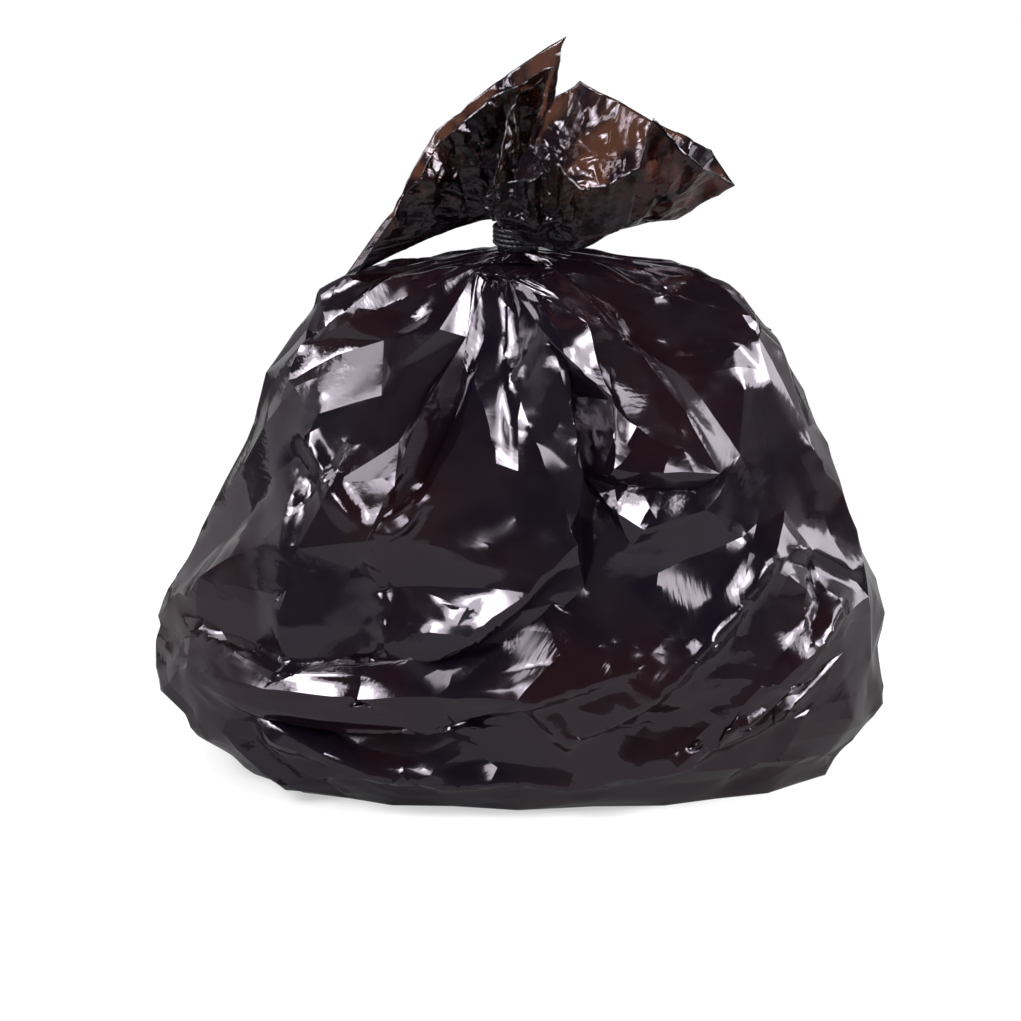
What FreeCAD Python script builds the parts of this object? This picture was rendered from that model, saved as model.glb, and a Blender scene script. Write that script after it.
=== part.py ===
import FreeCAD, Part
import math
import os
import random

# Filled refuse sack, tied at the neck, standing on the floor with its slack mouth flared above the tie.
# Millimetres, +Z up, the photographed side faces -Y. The origin is under the middle of the overall box.

# Driving sizes, kept in the document's spreadsheet
SIZES = [
    ("sack_width", 610.0, "filled width across the belly"),
    ("sack_depth", 290.0, "filled depth from front to back"),
    ("neck_height", 450.0, "floor to the foot of the tied neck"),
    ("neck_radius", 17.0, "radius over the gathered pleats in the neck"),
    ("neck_pleat_depth", 2.5, "how far the valleys of the gathered neck lie inside its radius"),
    ("neck_margin", 2.5, "bare neck above and below the tie"),
    ("fold_depth", 12.0, "how far a full fold of the film stands out of the plump form"),
    ("mouth_width", 310.0, "tip to tip of the flared mouth"),
    ("mouth_depth", 164.0, "front to back of the flared mouth"),
    ("mouth_height", 141.0, "top of the neck to the highest corner of the mouth"),
    ("mouth_collar", 20.0, "how far the film stands off the neck before it droops or rises"),
    ("mouth_pleat_depth", 4.0, "how far a full pleat of the mouth stands off its film"),
    ("film_wall", 2.0, "wall that stands for the crumpled film of the open mouth"),
    ("tie_cord", 3.8, "thickness of the tie"),
    ("tie_pitch", 3.9, "rise of the tie in each turn"),
    ("tie_turns", 4.0, "turns of the tie round the neck"),
    ("tie_clearance", 0.3, "gap between the pleats and the tie"),
]

# Plump form of the full sack: height as a share of the neck height, then how far the film reaches to
# the left, right, front and back, as shares of half the width and half the depth
FORM_SECTIONS = [
    (0.0, 0.76, 0.89, 0.73, 0.74),
    (0.05, 0.88, 0.96, 0.88, 0.88),
    (0.11, 0.94, 0.985, 0.96, 0.95),
    (0.18, 0.99, 1.0, 1.0, 1.0),
    (0.3, 0.98, 1.0, 1.0, 1.0),
    (0.39, 0.91, 0.975, 0.97, 0.97),
    (0.54, 0.79, 0.885, 0.89, 0.9),
    (0.65, 0.71, 0.825, 0.8, 0.82),
    (0.745, 0.665, 0.745, 0.69, 0.72),
    (0.82, 0.6, 0.695, 0.58, 0.62),
    (0.9, 0.53, 0.61, 0.43, 0.48),
    (0.945, 0.44, 0.5, 0.32, 0.36),
    (0.975, 0.25, 0.3, 0.21, 0.23),
]
# Exponent of the sections' outline: 2 is an ellipse and more is squarer
FORM_SQUARENESS = 2.2

# Folds of the front, each a run of film points: degrees from the front towards the right, share of
# the neck height, and share of the fold depth, which is negative in a valley
FRONT_FOLDS = [
    # pleats that fan out of the neck, from left to right
    [(-32, 0.99, 0.3), (-34, 0.94, 0.6), (-48, 0.89, 0.9), (-66, 0.84, 0.9), (-92, 0.76, 0.6)],
    [(-24, 0.98, -0.4), (-28, 0.91, -0.6), (-40, 0.86, -0.7), (-54, 0.83, -0.3)],
    [(-18, 0.97, 0.4), (-18, 0.89, 0.8), (-28, 0.82, 1.0), (-30, 0.78, 0.6), (-38, 0.7, 0.4)],
    [(-92, 0.76, 0.6), (-65, 0.78, 0.6), (-46, 0.74, 0.9), (-38, 0.7, 0.4)],
    [(-38, 0.7, 0.4), (-36, 0.63, 1.0), (-40, 0.51, 1.0), (-39, 0.4, 0.8), (-36, 0.3, 0.3)],
    [(-15, 0.97, -0.4), (-14, 0.87, -0.8), (-21, 0.79, -0.9), (-26, 0.7, -0.4)],
    [(-10, 0.96, 0.4), (-12, 0.88, 1.0), (-18, 0.76, 1.2), (-22, 0.65, 1.2), (-25, 0.54, 1.2)],
    [(-25, 0.54, 1.2), (-21, 0.45, -0.7), (-16, 0.37, -0.4)],
    [(-8, 0.96, -0.4), (-9, 0.87, -1.1), (-14, 0.74, -1.1), (-19, 0.62, -0.5)],
    [(-25, 0.54, 1.2), (-16, 0.61, 0.8), (-14, 0.55, 0.2), (-25, 0.54, 1.2)],
    [(-6, 0.96, 0.4), (-6, 0.88, 0.6), (-10, 0.73, 0.6), (-16, 0.61, 0.8)],
    [(-3, 0.96, -0.4), (0, 0.9, -0.9), (0, 0.81, -1.0), (0, 0.72, -0.6), (0, 0.66, 0.0)],
    [(-1, 0.96, 0.4), (5, 0.88, 1.0), (8, 0.77, 1.0), (9, 0.66, 1.0), (7, 0.54, 0.9)],
    [(2, 0.96, -0.5), (9, 0.88, -1.3), (12, 0.77, -1.5), (12, 0.64, -1.5), (10, 0.45, -0.9)],
    [(5, 0.96, 0.4), (13, 0.9, 0.8), (16, 0.78, 0.9), (15, 0.66, 1.0)],
    [(8, 0.96, -0.4), (16, 0.9, -0.9), (19, 0.81, -0.9), (22, 0.72, -0.2)],
    [(12, 0.97, 0.4), (22, 0.88, 1.0), (30, 0.76, 1.2), (34, 0.65, 1.2)],
    [(18, 0.98, -0.4), (28, 0.92, -0.7), (34, 0.85, -0.8), (38, 0.8, -0.3)],
    [(28, 0.98, 0.4), (40, 0.95, 0.6), (52, 0.92, 0.8), (66, 0.88, 0.8)],
    # facets of the upper belly
    [(15, 0.66, 1.0), (24, 0.66, 1.0), (34, 0.65, 1.2)],
    [(16, 0.63, -0.3), (24, 0.62, -0.6), (32, 0.62, -0.3)],
    [(15, 0.59, 0.7), (19, 0.56, 0.6), (32, 0.59, 0.7)],
    [(33, 0.76, 0.1), (38, 0.79, 0.9), (50, 0.78, 0.8)],
    [(64, 0.85, 0.5), (60, 0.78, 0.7), (42, 0.67, 0.6), (34, 0.65, 1.2)],
    [(76, 0.82, 0.5), (72, 0.74, 0.7), (66, 0.66, 0.7), (42, 0.67, 0.6)],
    [(66, 0.66, 0.7), (75, 0.56, 0.6), (76, 0.49, 0.5)],
    [(34, 0.59, 0.3), (39, 0.52, -0.5), (42, 0.48, 1.1)],
    [(-88, 0.3, 0.5), (-66, 0.41, 0.6), (-40, 0.42, 0.6)],
    [(-82, 0.58, 0.2), (-60, 0.58, 0.0), (-45, 0.58, 0.2)],
    # diagonals of the right side
    [(42, 0.48, 1.1), (31, 0.4, 1.0), (20, 0.3, 1.1), (11, 0.23, 0.9)],
    [(42, 0.48, 1.1), (50, 0.42, 0.4), (54, 0.38, -0.2), (60, 0.46, -1.1), (76, 0.49, 0.5)],
    [(57, 0.36, 0.8), (44, 0.31, 0.8), (32, 0.24, 0.9), (20, 0.15, 0.8), (12, 0.05, 0.3)],
    [(62, 0.28, -0.3), (42, 0.22, -0.7), (30, 0.16, -0.4)],
    [(88, 0.12, 0.6), (62, 0.15, 0.5), (46, 0.17, 0.5), (34, 0.19, 0.4)],
    [(20, 0.3, 1.1), (20, 0.22, 0.3)],
    [(18, 0.35, 0.9), (17, 0.46, -0.6), (18, 0.53, -0.2)],
    # bands that cross the foot of the left side
    [(-86, 0.25, 0.6), (-58, 0.26, 1.1), (-36, 0.26, 1.4), (-23, 0.26, 1.5), (-10, 0.27, 1.3)],
    [(-66, 0.3, -0.4), (-47, 0.31, -1.0), (-30, 0.31, -1.0), (-20, 0.31, -1.3), (-10, 0.32, -1.0)],
    [(-44, 0.22, 1.0), (-26, 0.22, 1.0), (-11, 0.21, 0.9), (-2, 0.2, 0.3)],
    [(-38, 0.19, -0.3), (-25, 0.18, -0.8), (-12, 0.17, -0.6)],
    [(-44, 0.22, 1.0), (-36, 0.15, 1.0), (-24, 0.11, 0.8), (-14, 0.1, 0.4)],
    [(-44, 0.14, -0.4), (-36, 0.08, -0.6), (-24, 0.05, -0.3)],
    [(-86, 0.15, 0.5), (-66, 0.12, 0.6), (-52, 0.13, 0.8), (-42, 0.05, 0.6)],
    [(-10, 0.27, 1.3), (-8, 0.21, -0.2), (-5, 0.15, -0.3)],
    # star and curved fold in the middle
    [(-15, 0.36, 0.4), (-6, 0.39, 0.6), (1, 0.46, 0.7), (7, 0.54, 0.9)],
    [(-2, 0.35, -0.8), (3, 0.4, -0.8), (10, 0.45, -0.9)],
    [(-6, 0.3, 0.3), (0, 0.27, 1.0), (4, 0.19, 0.7), (11, 0.23, 0.9)],
    [(0, 0.27, 1.0), (5, 0.34, 0.4), (11, 0.34, 0.2), (18, 0.35, 0.9)],
    [(-4, 0.08, -0.2), (3, 0.09, 0.4)],
    [(28, 0.09, 0.3), (44, 0.08, 0.4), (60, 0.07, 0.2)],
]
# The back carries the front's folds turned round, a little shallower and lower
BACK_TURN = 180.0
BACK_DEPTH_SHARE = 0.85
BACK_RISE_SHARE = 0.97

# Pleats that run from the neck over the shoulders at both sides, between the front's and the back's:
# degrees at the neck, degrees that they stray on their way down, and share of the fold depth
SIDE_PLEATS = [
    (50, 7, -0.7),
    (62, 7, 1.0),
    (73, 5, -0.8),
    (84, 3, 0.8),
    (94, -3, -0.9),
    (105, -4, 1.1),
    (117, -6, -0.7),
    (129, -7, 0.9),
    (140, -6, -0.6),
    (218, 8, 0.8),
    (230, 7, -0.8),
    (242, 6, 1.0),
    (254, 3, -0.7),
    (265, -2, 0.9),
    (276, -3, -1.0),
    (288, -5, 0.8),
    (300, -6, -0.7),
    (311, -6, 0.9),
]
# Their points, as a height share, a share of the stray and a share of the pleat's own depth
SIDE_PLEAT_POINTS = [(0.974, 0.0, 0.6), (0.952, 0.5, 1.0), (0.915, 0.85, 0.9), (0.86, 1.0, 0.3)]

# Slack mouth above the tie, as columns of film from the neck to the rim. Each has its angle at the
# neck, then its rim point to the right, back and up, as shares of the mouth's width, depth and height,
# and then its bend: the share of the way out, and how far up or down the film hangs before it turns
# to the rim
MOUTH_COLUMNS = [
    # front wall of the open lobe, which droops over the tie
    (0, 0.04, -0.43, 0.33, 0.95, -0.3),
    (14, 0.1, -0.4, 0.4, 1.0, -0.36),
    (28, 0.16, -0.5, 0.28, 0.95, -0.38),
    (42, 0.23, -0.54, 0.33, 0.85, -0.4),
    (54, 0.3, -0.49, 0.4, 0.8, -0.38),
    (66, 0.34, -0.34, 0.62, 0.75, -0.34),
    (78, 0.42, -0.35, 0.44, 0.65, -0.28),
    (90, 0.55, -0.06, 0.2, 0.5, -0.24),
    # back wall of the open lobe
    (104, 0.5, 0.17, 0.34, 0.6, -0.25),
    (118, 0.44, 0.27, 0.39, 0.65, -0.25),
    (132, 0.36, 0.37, 0.45, 0.75, -0.15),
    (146, 0.27, 0.46, 0.55, 0.8, -0.05),
    (160, 0.16, 0.38, 0.69, 0.85, 0.1),
    (176, 0.08, 0.26, 0.61, 0.9, 0.2),
    # back wall of the closed lobe, from the peak to the drooping tip
    (190, 0.11, 0.07, 1.0, 0.5, 0.4),
    (204, -0.04, 0.14, 0.77, 0.9, 0.35),
    (218, -0.21, 0.13, 0.46, 0.6, 0.25),
    (232, -0.33, 0.07, 0.04, 0.5, 0.12),
    (248, -0.45, -0.13, -0.3, 0.5, -0.02),
    # front wall of the closed lobe, from the tip back to the peak
    (264, -0.42, -0.25, -0.26, 0.5, -0.04),
    (280, -0.32, -0.25, 0.08, 0.55, 0.06),
    (294, -0.2, -0.16, 0.45, 0.6, 0.2),
    (308, -0.07, -0.09, 0.7, 0.8, 0.3),
    # strip of film that stands in front of the peak
    (320, 0.08, -0.12, 0.87, 0.3, 0.35),
    (334, -0.02, -0.24, 0.66, 0.9, 0.2),
    (347, -0.05, -0.37, 0.29, 0.95, -0.1),
]
# Shares of the way from the neck to the rim at which each column has a point
MOUTH_STATIONS = (0.0, 0.14, 0.3, 0.47, 0.64, 0.82, 1.0)
# Share of the way out over which the neck's pleats grow into the mouth's, which then fade to the rim
PLEAT_OPENING = 0.25
# Columns between these angles are crossed by folds where the film was pushed down over the tie
GATHERED_ANGLES = (-20.0, 60.0)
GATHER_DEPTH_SHARE = 0.35

TIE_SIDES = 8
BASE_POINTS = 30
BASE_WAVE_SHARE = 0.25
# Ring of alternating pleats where the gathered neck opens into the shoulders
PLEAT_RING_HEIGHT_SHARE = 0.988
PLEAT_RING_DEPTH_SHARE = 0.3
# Film points that are added where the folds leave the plump form bare
FILL_SPACING = 40.0
FILL_TRIES = 4000
FILL_HEIGHT_SHARES = (0.02, 0.97)
FILL_DEPTH_SHARE = 0.5
MERGE_SPACING = 9.0
EDGE_MARGIN = 12.0
SEED = 29
# Share by which the map's points are shifted, so that no four of them lie on one circle or line
MAP_SHIFT = 0.0005
# The map's first triangle reaches this many times its size beyond it
MAP_BORDER = 20
# Three points of the map count as one line where twice their triangle's area is below this
MAP_LINE = 1e-12

TOP = FreeCAD.Vector(0, 0, 1)


def make_sheet(doc):
    """Writes the driving sizes to a spreadsheet and names its cells."""
    sheet = doc.addObject("Spreadsheet::Sheet", "sizes")
    for row, (alias, value, meaning) in enumerate(SIZES, start=1):
        sheet.set(f"A{row}", alias)
        sheet.set(f"B{row}", f"{value}")
        sheet.set(f"C{row}", meaning)
        sheet.setAlias(f"B{row}", alias)
    doc.recompute()
    return sheet


def blend_rows(rows, key):
    """Reads a table of rows by its first column, in straight lines between the rows."""
    for low, high in zip(rows, rows[1:]):
        if key <= high[0]:
            share = (key - low[0]) / (high[0] - low[0])
            return [a + (b - a) * share for a, b in zip(low[1:], high[1:])]
    return list(rows[-1][1:])


class Sack:
    """The sizes of one sack and the film points that follow from them."""

    def __init__(self, sheet):
        for alias, _, _ in SIZES:
            setattr(self, alias, float(getattr(sheet, alias)))
        self.tie_height = self.tie_turns * self.tie_pitch + self.tie_cord
        self.neck_top = self.neck_height + self.tie_height + 2 * self.neck_margin
        self.reaches = [
            (
                height,
                left * self.sack_width / 2,
                right * self.sack_width / 2,
                front * self.sack_depth / 2,
                back * self.sack_depth / 2,
            )
            for height, left, right, front, back in FORM_SECTIONS
        ]
        self.reaches.append((1.0,) + (self.neck_radius,) * 4)
        self.levels = self.measure_levels()

    def measure_levels(self):
        """Pairs each height with its distance up the film, counted in girths: the sum of every small
        step up the film divided by the mean radius there."""
        levels, level = [], 0.0
        for low, high in zip(self.reaches, self.reaches[1:]):
            low_girth, high_girth = sum(low[1:]) / 4, sum(high[1:]) / 4
            rise = (high[0] - low[0]) * self.neck_height
            levels.append((low[0], level))
            level += math.hypot(rise, high_girth - low_girth) * 2 / (low_girth + high_girth)
        levels.append((1.0, level))
        return levels

    def level(self, height):
        """The map's level of a height share."""
        return blend_rows(self.levels, height)[0]

    def girth(self, height):
        """The mean radius of the plump form at a height share."""
        return sum(blend_rows(self.reaches, height)) / 4

    def map_point(self, angle, height):
        """A film point's place on a flat map that keeps the shape of small triangles. The base ring is
        its outer circle and the neck its inner one."""
        radius = math.exp(-self.level(height))
        return radius * math.sin(math.radians(angle)), -radius * math.cos(math.radians(angle))

    def film_point(self, angle, height, fold):
        """A point of the film in space: degrees from the front, height share and share of a fold."""
        left, right, front, back = blend_rows(self.reaches, height)
        across, along = math.sin(math.radians(angle)), -math.cos(math.radians(angle))
        power = 2 / FORM_SQUARENESS
        x = (right if across > 0 else left) * math.copysign(abs(across) ** power, across)
        y = (back if along > 0 else front) * math.copysign(abs(along) ** power, along)
        radius = math.hypot(x, y)
        stretch = 1 + fold * self.fold_depth / radius
        return FreeCAD.Vector(x * stretch, y * stretch, height * self.neck_height)

    def neck_point(self, index, height):
        """A point of the gathered neck: ridges and valleys alternate round it."""
        angle = math.radians(MOUTH_COLUMNS[index][0])
        radius = self.neck_radius - (self.neck_pleat_depth if index % 2 else 0.0)
        return FreeCAD.Vector(radius * math.sin(angle), -radius * math.cos(angle), height)

    def mouth_point(self, index, station):
        """A point of the mouth's outer skin, on a column's smooth line from the neck to the rim."""
        angle, right, back, up, bend_out, bend_up = MOUTH_COLUMNS[index]
        foot = self.neck_point(index, self.neck_top)
        across, along = right * self.mouth_width, back * self.mouth_depth
        outward = FreeCAD.Vector(foot.x, foot.y, 0).normalize()
        collar = foot + outward * self.mouth_collar
        drop = TOP * (self.neck_top + bend_up * self.mouth_height)
        bend = FreeCAD.Vector(across * bend_out, along * bend_out, 0) + drop
        rim = FreeCAD.Vector(across, along, self.neck_top + up * self.mouth_height)
        far = MOUTH_STATIONS[station]
        near = 1 - far
        point = foot * near**3 + collar * (3 * near**2 * far) + bend * (3 * near * far**2)
        point += rim * far**3
        turned = (angle + 180) % 360 - 180
        if not GATHERED_ANGLES[0] <= turned <= GATHERED_ANGLES[1]:
            depth = self.mouth_pleat_depth * min(1, far / PLEAT_OPENING) * near
            point += outward * (-depth if index % 2 else depth)
        elif 0 < station < len(MOUTH_STATIONS) - 1:
            depth = GATHER_DEPTH_SHARE * self.fold_depth
            point += outward * (depth if station % 2 else -depth)
        return point


def fold_runs():
    """All folds of the sack: the front's, the same turned round for the back, and the sides'."""
    runs = [list(run) for run in FRONT_FOLDS]
    for run in FRONT_FOLDS:
        runs.append(
            [(a + BACK_TURN, h * BACK_RISE_SHARE, fold * BACK_DEPTH_SHARE) for a, h, fold in run]
        )
    for angle, stray, depth in SIDE_PLEATS:
        points = SIDE_PLEAT_POINTS
        runs.append([(angle + stray * part, height, depth * share) for height, part, share in points])
    return runs


def map_gap(sack, one, two):
    """The rough distance over the film between two film points, in millimetres."""
    turn = math.radians((one[0] - two[0] + 180) % 360 - 180)
    girth = sack.girth((one[1] + two[1]) / 2)
    return girth * math.hypot(turn, sack.level(one[1]) - sack.level(two[1]))


def spread_film_points(sack):
    """The film points of the full sack and the folds that join them.

    Returns the points as (angle, height share, fold share), with the base ring first, and then the
    pairs of points that lie next to each other on a fold."""
    noise = random.Random(SEED)
    points = [
        (360.0 * i / BASE_POINTS, 0.0, BASE_WAVE_SHARE * (-1) ** i) for i in range(BASE_POINTS)
    ]
    for i, column in enumerate(MOUTH_COLUMNS):
        points.append((column[0], PLEAT_RING_HEIGHT_SHARE, PLEAT_RING_DEPTH_SHARE * (-1) ** i))
    pairs = []
    for run in fold_runs():
        line = []
        for point in run:
            gaps = [map_gap(sack, point, other) for other in points[BASE_POINTS:]]
            if min(gaps) > MERGE_SPACING:
                line.append(len(points))
                points.append(point)
            else:
                line.append(BASE_POINTS + gaps.index(min(gaps)))
        pairs += [pair for pair in zip(line, line[1:]) if pair[0] != pair[1]]
    for _ in range(FILL_TRIES):
        height = noise.uniform(*FILL_HEIGHT_SHARES)
        point = (noise.uniform(0, 360), height, noise.uniform(-1, 1) * FILL_DEPTH_SHARE)
        spacing = min(FILL_SPACING, sack.girth(height))
        near_base = height * sack.neck_height < EDGE_MARGIN
        if not near_base and all(map_gap(sack, point, other) > spacing for other in points):
            points.append(point)
    return points, pairs


def circle_of(a, b, c):
    """Centre and squared radius of the circle through three points of the map."""
    d = 2 * ((a[0] - c[0]) * (b[1] - c[1]) - (b[0] - c[0]) * (a[1] - c[1]))
    if abs(d) < MAP_LINE:
        return None
    p = a[0] ** 2 - c[0] ** 2 + a[1] ** 2 - c[1] ** 2
    q = b[0] ** 2 - c[0] ** 2 + b[1] ** 2 - c[1] ** 2
    x = (p * (b[1] - c[1]) - q * (a[1] - c[1])) / d
    y = (q * (a[0] - c[0]) - p * (b[0] - c[0])) / d
    return x, y, (a[0] - x) ** 2 + (a[1] - y) ** 2


def triangulate(points):
    """Delaunay triangles of points on a plane, as triples of their indices."""
    low_x, high_x = min(p[0] for p in points), max(p[0] for p in points)
    low_y, high_y = min(p[1] for p in points), max(p[1] for p in points)
    span = MAP_BORDER * max(high_x - low_x, high_y - low_y)
    count = len(points)
    corners = [(low_x - span, low_y - span), (high_x + span, low_y - span), (low_x, high_y + span)]
    everything = list(points) + corners
    triangles = {(count, count + 1, count + 2): circle_of(*corners)}
    for index, (x, y) in enumerate(points):
        hit = [t for t, (cx, cy, r) in triangles.items() if (x - cx) ** 2 + (y - cy) ** 2 < r]
        edges = {}
        for t in hit:
            del triangles[t]
            for edge in ((t[0], t[1]), (t[1], t[2]), (t[2], t[0])):
                edges[frozenset(edge)] = None if frozenset(edge) in edges else edge
        for edge in filter(None, edges.values()):
            circle = circle_of(everything[edge[0]], everything[edge[1]], (x, y))
            if circle:
                triangles[(edge[0], edge[1], index)] = circle
    return [t for t in triangles if max(t) < count]


def turn_of(a, b, c):
    """Twice the area of the map's triangle a, b, c, and negative where it turns clockwise."""
    return (b[0] - a[0]) * (c[1] - a[1]) - (c[0] - a[0]) * (b[1] - a[1])


def crosses(flat, a, b, c, d):
    """True if the map's lines a to b and c to d cross between their ends."""
    if {a, b} & {c, d}:
        return False
    a, b, c, d = flat[a], flat[b], flat[c], flat[d]
    parted = turn_of(a, b, c) * turn_of(a, b, d) < 0
    return parted and turn_of(c, d, a) * turn_of(c, d, b) < 0


def lay_folds(flat, triangles, pairs):
    """Turns edges of the triangles until each fold lies along edges, so that its ridge is unbroken.

    A fold that would cross one laid before it is left out."""
    tips = {}
    for a, b, c in triangles:
        tips[a, b], tips[b, c], tips[c, a] = c, a, b
    laid = set()
    for a, b in pairs:
        waiting = [edge for edge in tips if edge[0] < edge[1] and crosses(flat, a, b, *edge)]
        if laid & set(waiting):
            continue
        tries = len(waiting) ** 2
        while waiting and tries:
            tries -= 1
            p, q = waiting.pop(0)
            r, s = tips[p, q], tips[q, p]
            if not crosses(flat, p, q, r, s):
                waiting.append((p, q))
                continue
            del tips[p, q], tips[q, p]
            tips[r, s], tips[s, q], tips[q, r] = q, r, s
            tips[s, r], tips[r, p], tips[p, s] = p, s, r
            if crosses(flat, a, b, r, s):
                waiting.append((min(r, s), max(r, s)))
        laid.add((min(a, b), max(a, b)))
    return {tuple(sorted((a, b, c))): (a, b, c) for (a, b), c in tips.items()}.values()


def film_triangles(sack, points, pairs):
    """The corners in space of the sack's triangles between its base ring and its neck ring."""
    neck = range(len(MOUTH_COLUMNS))
    noise = random.Random(SEED)
    places = [(angle, height) for angle, height, _ in points]
    places += [(MOUTH_COLUMNS[i][0], 1.0) for i in neck]
    flat = []
    for x, y in (sack.map_point(*place) for place in places):
        reach = MAP_SHIFT * math.hypot(x, y)
        flat.append((x + noise.uniform(-reach, reach), y + noise.uniform(-reach, reach)))
    space = [sack.film_point(*point) for point in points]
    space += [sack.neck_point(i, sack.neck_height) for i in neck]
    upright = []
    for a, b, c in triangulate(flat):
        if min(a, b, c) < len(points):
            upright.append((a, b, c) if turn_of(flat[a], flat[b], flat[c]) > 0 else (a, c, b))
    return [[space[i] for i in corners] for corners in lay_folds(flat, upright, pairs)]


def quad_triangles(a, b, c, d):
    """Two triangles for the corners a, b, c, d of a bent quad, split along its shorter diagonal."""
    if (a - c).Length <= (b - d).Length:
        return [[a, b, c], [a, c, d]]
    return [[a, b, d], [b, c, d]]


def skin_normals(grid):
    """The outward direction of the skin at each point of the mouth's grid of stations and columns."""
    columns = len(grid[0])
    normals = []
    for station, row in enumerate(grid):
        above = grid[min(station + 1, len(grid) - 1)]
        below = grid[max(station - 1, 0)]
        line = []
        for i in range(columns):
            round_way = row[(i + 1) % columns] - row[i - 1]
            up_way = above[i] - below[i]
            line.append(round_way.cross(up_way).normalize())
        normals.append(line)
    return normals


def mouth_triangles(sack):
    """The mouth's outer skin, rim and inner skin, and the floor that closes its hollow."""
    columns = range(len(MOUTH_COLUMNS))
    stations = range(len(MOUTH_STATIONS))
    outer = [[sack.mouth_point(i, s) for i in columns] for s in stations]
    normals = skin_normals(outer)
    inner = [[outer[s][i] - normals[s][i] * sack.film_wall for i in columns] for s in stations]
    corners = []
    for i in columns:
        j = (i + 1) % len(MOUTH_COLUMNS)
        for s in stations[:-1]:
            corners += quad_triangles(outer[s][i], outer[s][j], outer[s + 1][j], outer[s + 1][i])
            if s:
                corners += quad_triangles(
                    inner[s + 1][i], inner[s + 1][j], inner[s][j], inner[s][i]
                )
        corners += quad_triangles(outer[-1][i], outer[-1][j], inner[-1][j], inner[-1][i])
    floor_ring = inner[1]
    middle = FreeCAD.Vector(0, 0, 0)
    for point in floor_ring:
        middle += point * (1 / len(floor_ring))
    for i in columns:
        corners.append([floor_ring[i], floor_ring[(i + 1) % len(floor_ring)], middle])
    return corners


def plane_face(corners):
    """A flat face through the given corners."""
    return Part.Face(Part.makePolygon(list(corners) + [corners[0]]))


def sack_triangles(sack):
    """The sack as one closed skin: full body, gathered neck and open mouth in one piece of film."""
    points, pairs = spread_film_points(sack)
    corners = film_triangles(sack, points, pairs)
    corners.append([sack.film_point(*point) for point in reversed(points[:BASE_POINTS])])
    count = len(MOUTH_COLUMNS)
    for i in range(count):
        j = (i + 1) % count
        foot, head = sack.neck_height, sack.neck_top
        corners.append(
            [
                sack.neck_point(i, foot),
                sack.neck_point(j, foot),
                sack.neck_point(j, head),
                sack.neck_point(i, head),
            ]
        )
    return corners + mouth_triangles(sack)


def tie_triangles(sack):
    """The tie: a cord that runs straight from ridge to ridge of the gathered neck, turn upon turn."""
    ridges = [column[0] for column in MOUTH_COLUMNS[::2]]
    middle = sack.neck_radius + sack.tie_clearance + sack.tie_cord / 2
    rings = []
    for step in range(round(sack.tie_turns * len(ridges)) + 1):
        angle = math.radians(ridges[step % len(ridges)])
        ring = []
        for side in range(TIE_SIDES):
            turn = 2 * math.pi * side / TIE_SIDES
            radius = middle + math.cos(turn) * sack.tie_cord / 2
            rise = sack.tie_pitch * step / len(ridges) + math.sin(turn) * sack.tie_cord / 2
            ring.append(FreeCAD.Vector(radius * math.sin(angle), -radius * math.cos(angle), rise))
        rings.append(ring)
    corners = [rings[0][::-1], rings[-1]]
    for low, high in zip(rings, rings[1:]):
        for side in range(TIE_SIDES):
            after = (side + 1) % TIE_SIDES
            corners += quad_triangles(low[side], low[after], high[after], high[side])
    return corners


def add_solid(doc, name, corners):
    """Adds one closed solid to the document, made of flat faces with the given corners."""
    solid = Part.makeSolid(Part.makeShell([plane_face(face) for face in corners]))
    if solid.Volume < 0:
        solid.reverse()
    feature = doc.addObject("Part::Feature", name)
    feature.Label = name
    feature.Shape = solid
    return feature


def check_document(doc, parts):
    """Stops if an object failed or a sub-part is not a sound solid."""
    for item in doc.Objects:
        if {"Invalid", "Error"} & set(item.State):
            raise RuntimeError(f"{item.Name} failed: {item.State}")
    for item in parts:
        if item.Shape.isNull() or not item.Shape.isValid() or item.Shape.Volume <= 0:
            raise RuntimeError(f"{item.Label} is not a sound solid")


def main():
    """Builds the document and writes one file for each sub-part."""
    doc = FreeCAD.newDocument("refuse_sack")
    sack = Sack(make_sheet(doc))
    body = add_solid(doc, "tied_sack", sack_triangles(sack))
    tie = add_solid(doc, "neck_tie", tie_triangles(sack))
    doc.recompute()
    box = body.Shape.BoundBox
    shift = FreeCAD.Vector(-(box.XMin + box.XMax) / 2, -(box.YMin + box.YMax) / 2, 0)
    body.Placement = FreeCAD.Placement(shift, FreeCAD.Rotation())
    tie_foot = TOP * (sack.neck_height + sack.neck_margin + sack.tie_cord / 2)
    tie.Placement = FreeCAD.Placement(shift + tie_foot, FreeCAD.Rotation())
    doc.recompute()
    parts = [body, tie]
    check_document(doc, parts)
    os.makedirs("parts", exist_ok=True)
    for item in parts:
        item.Shape.exportStep(f"parts/{item.Label}.step")
        box = item.Shape.BoundBox
        print(item.Label, len(item.Shape.Faces), "faces", f"{item.Shape.Volume / 1e6:.3f} litres")
        print("  x", round(box.XMin, 1), round(box.XMax, 1), "y", round(box.YMin, 1), round(box.YMax, 1))
        print("  z", round(box.ZMin, 1), round(box.ZMax, 1))


main()
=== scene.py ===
"""Looks of a filled refuse sack: glossy black film, a tied neck and the slack mouth above the tie.

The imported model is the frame. It gives the sack's outline and its main folds. This script adds the
creases of the film, its finish, the cord of the tie, and the studio around the sack.
"""

import logging
import math
from dataclasses import dataclass, field
from enum import Enum
from typing import Iterator, Sequence

import bmesh
import bpy
import numpy as np
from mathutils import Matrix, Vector, noise


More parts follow.
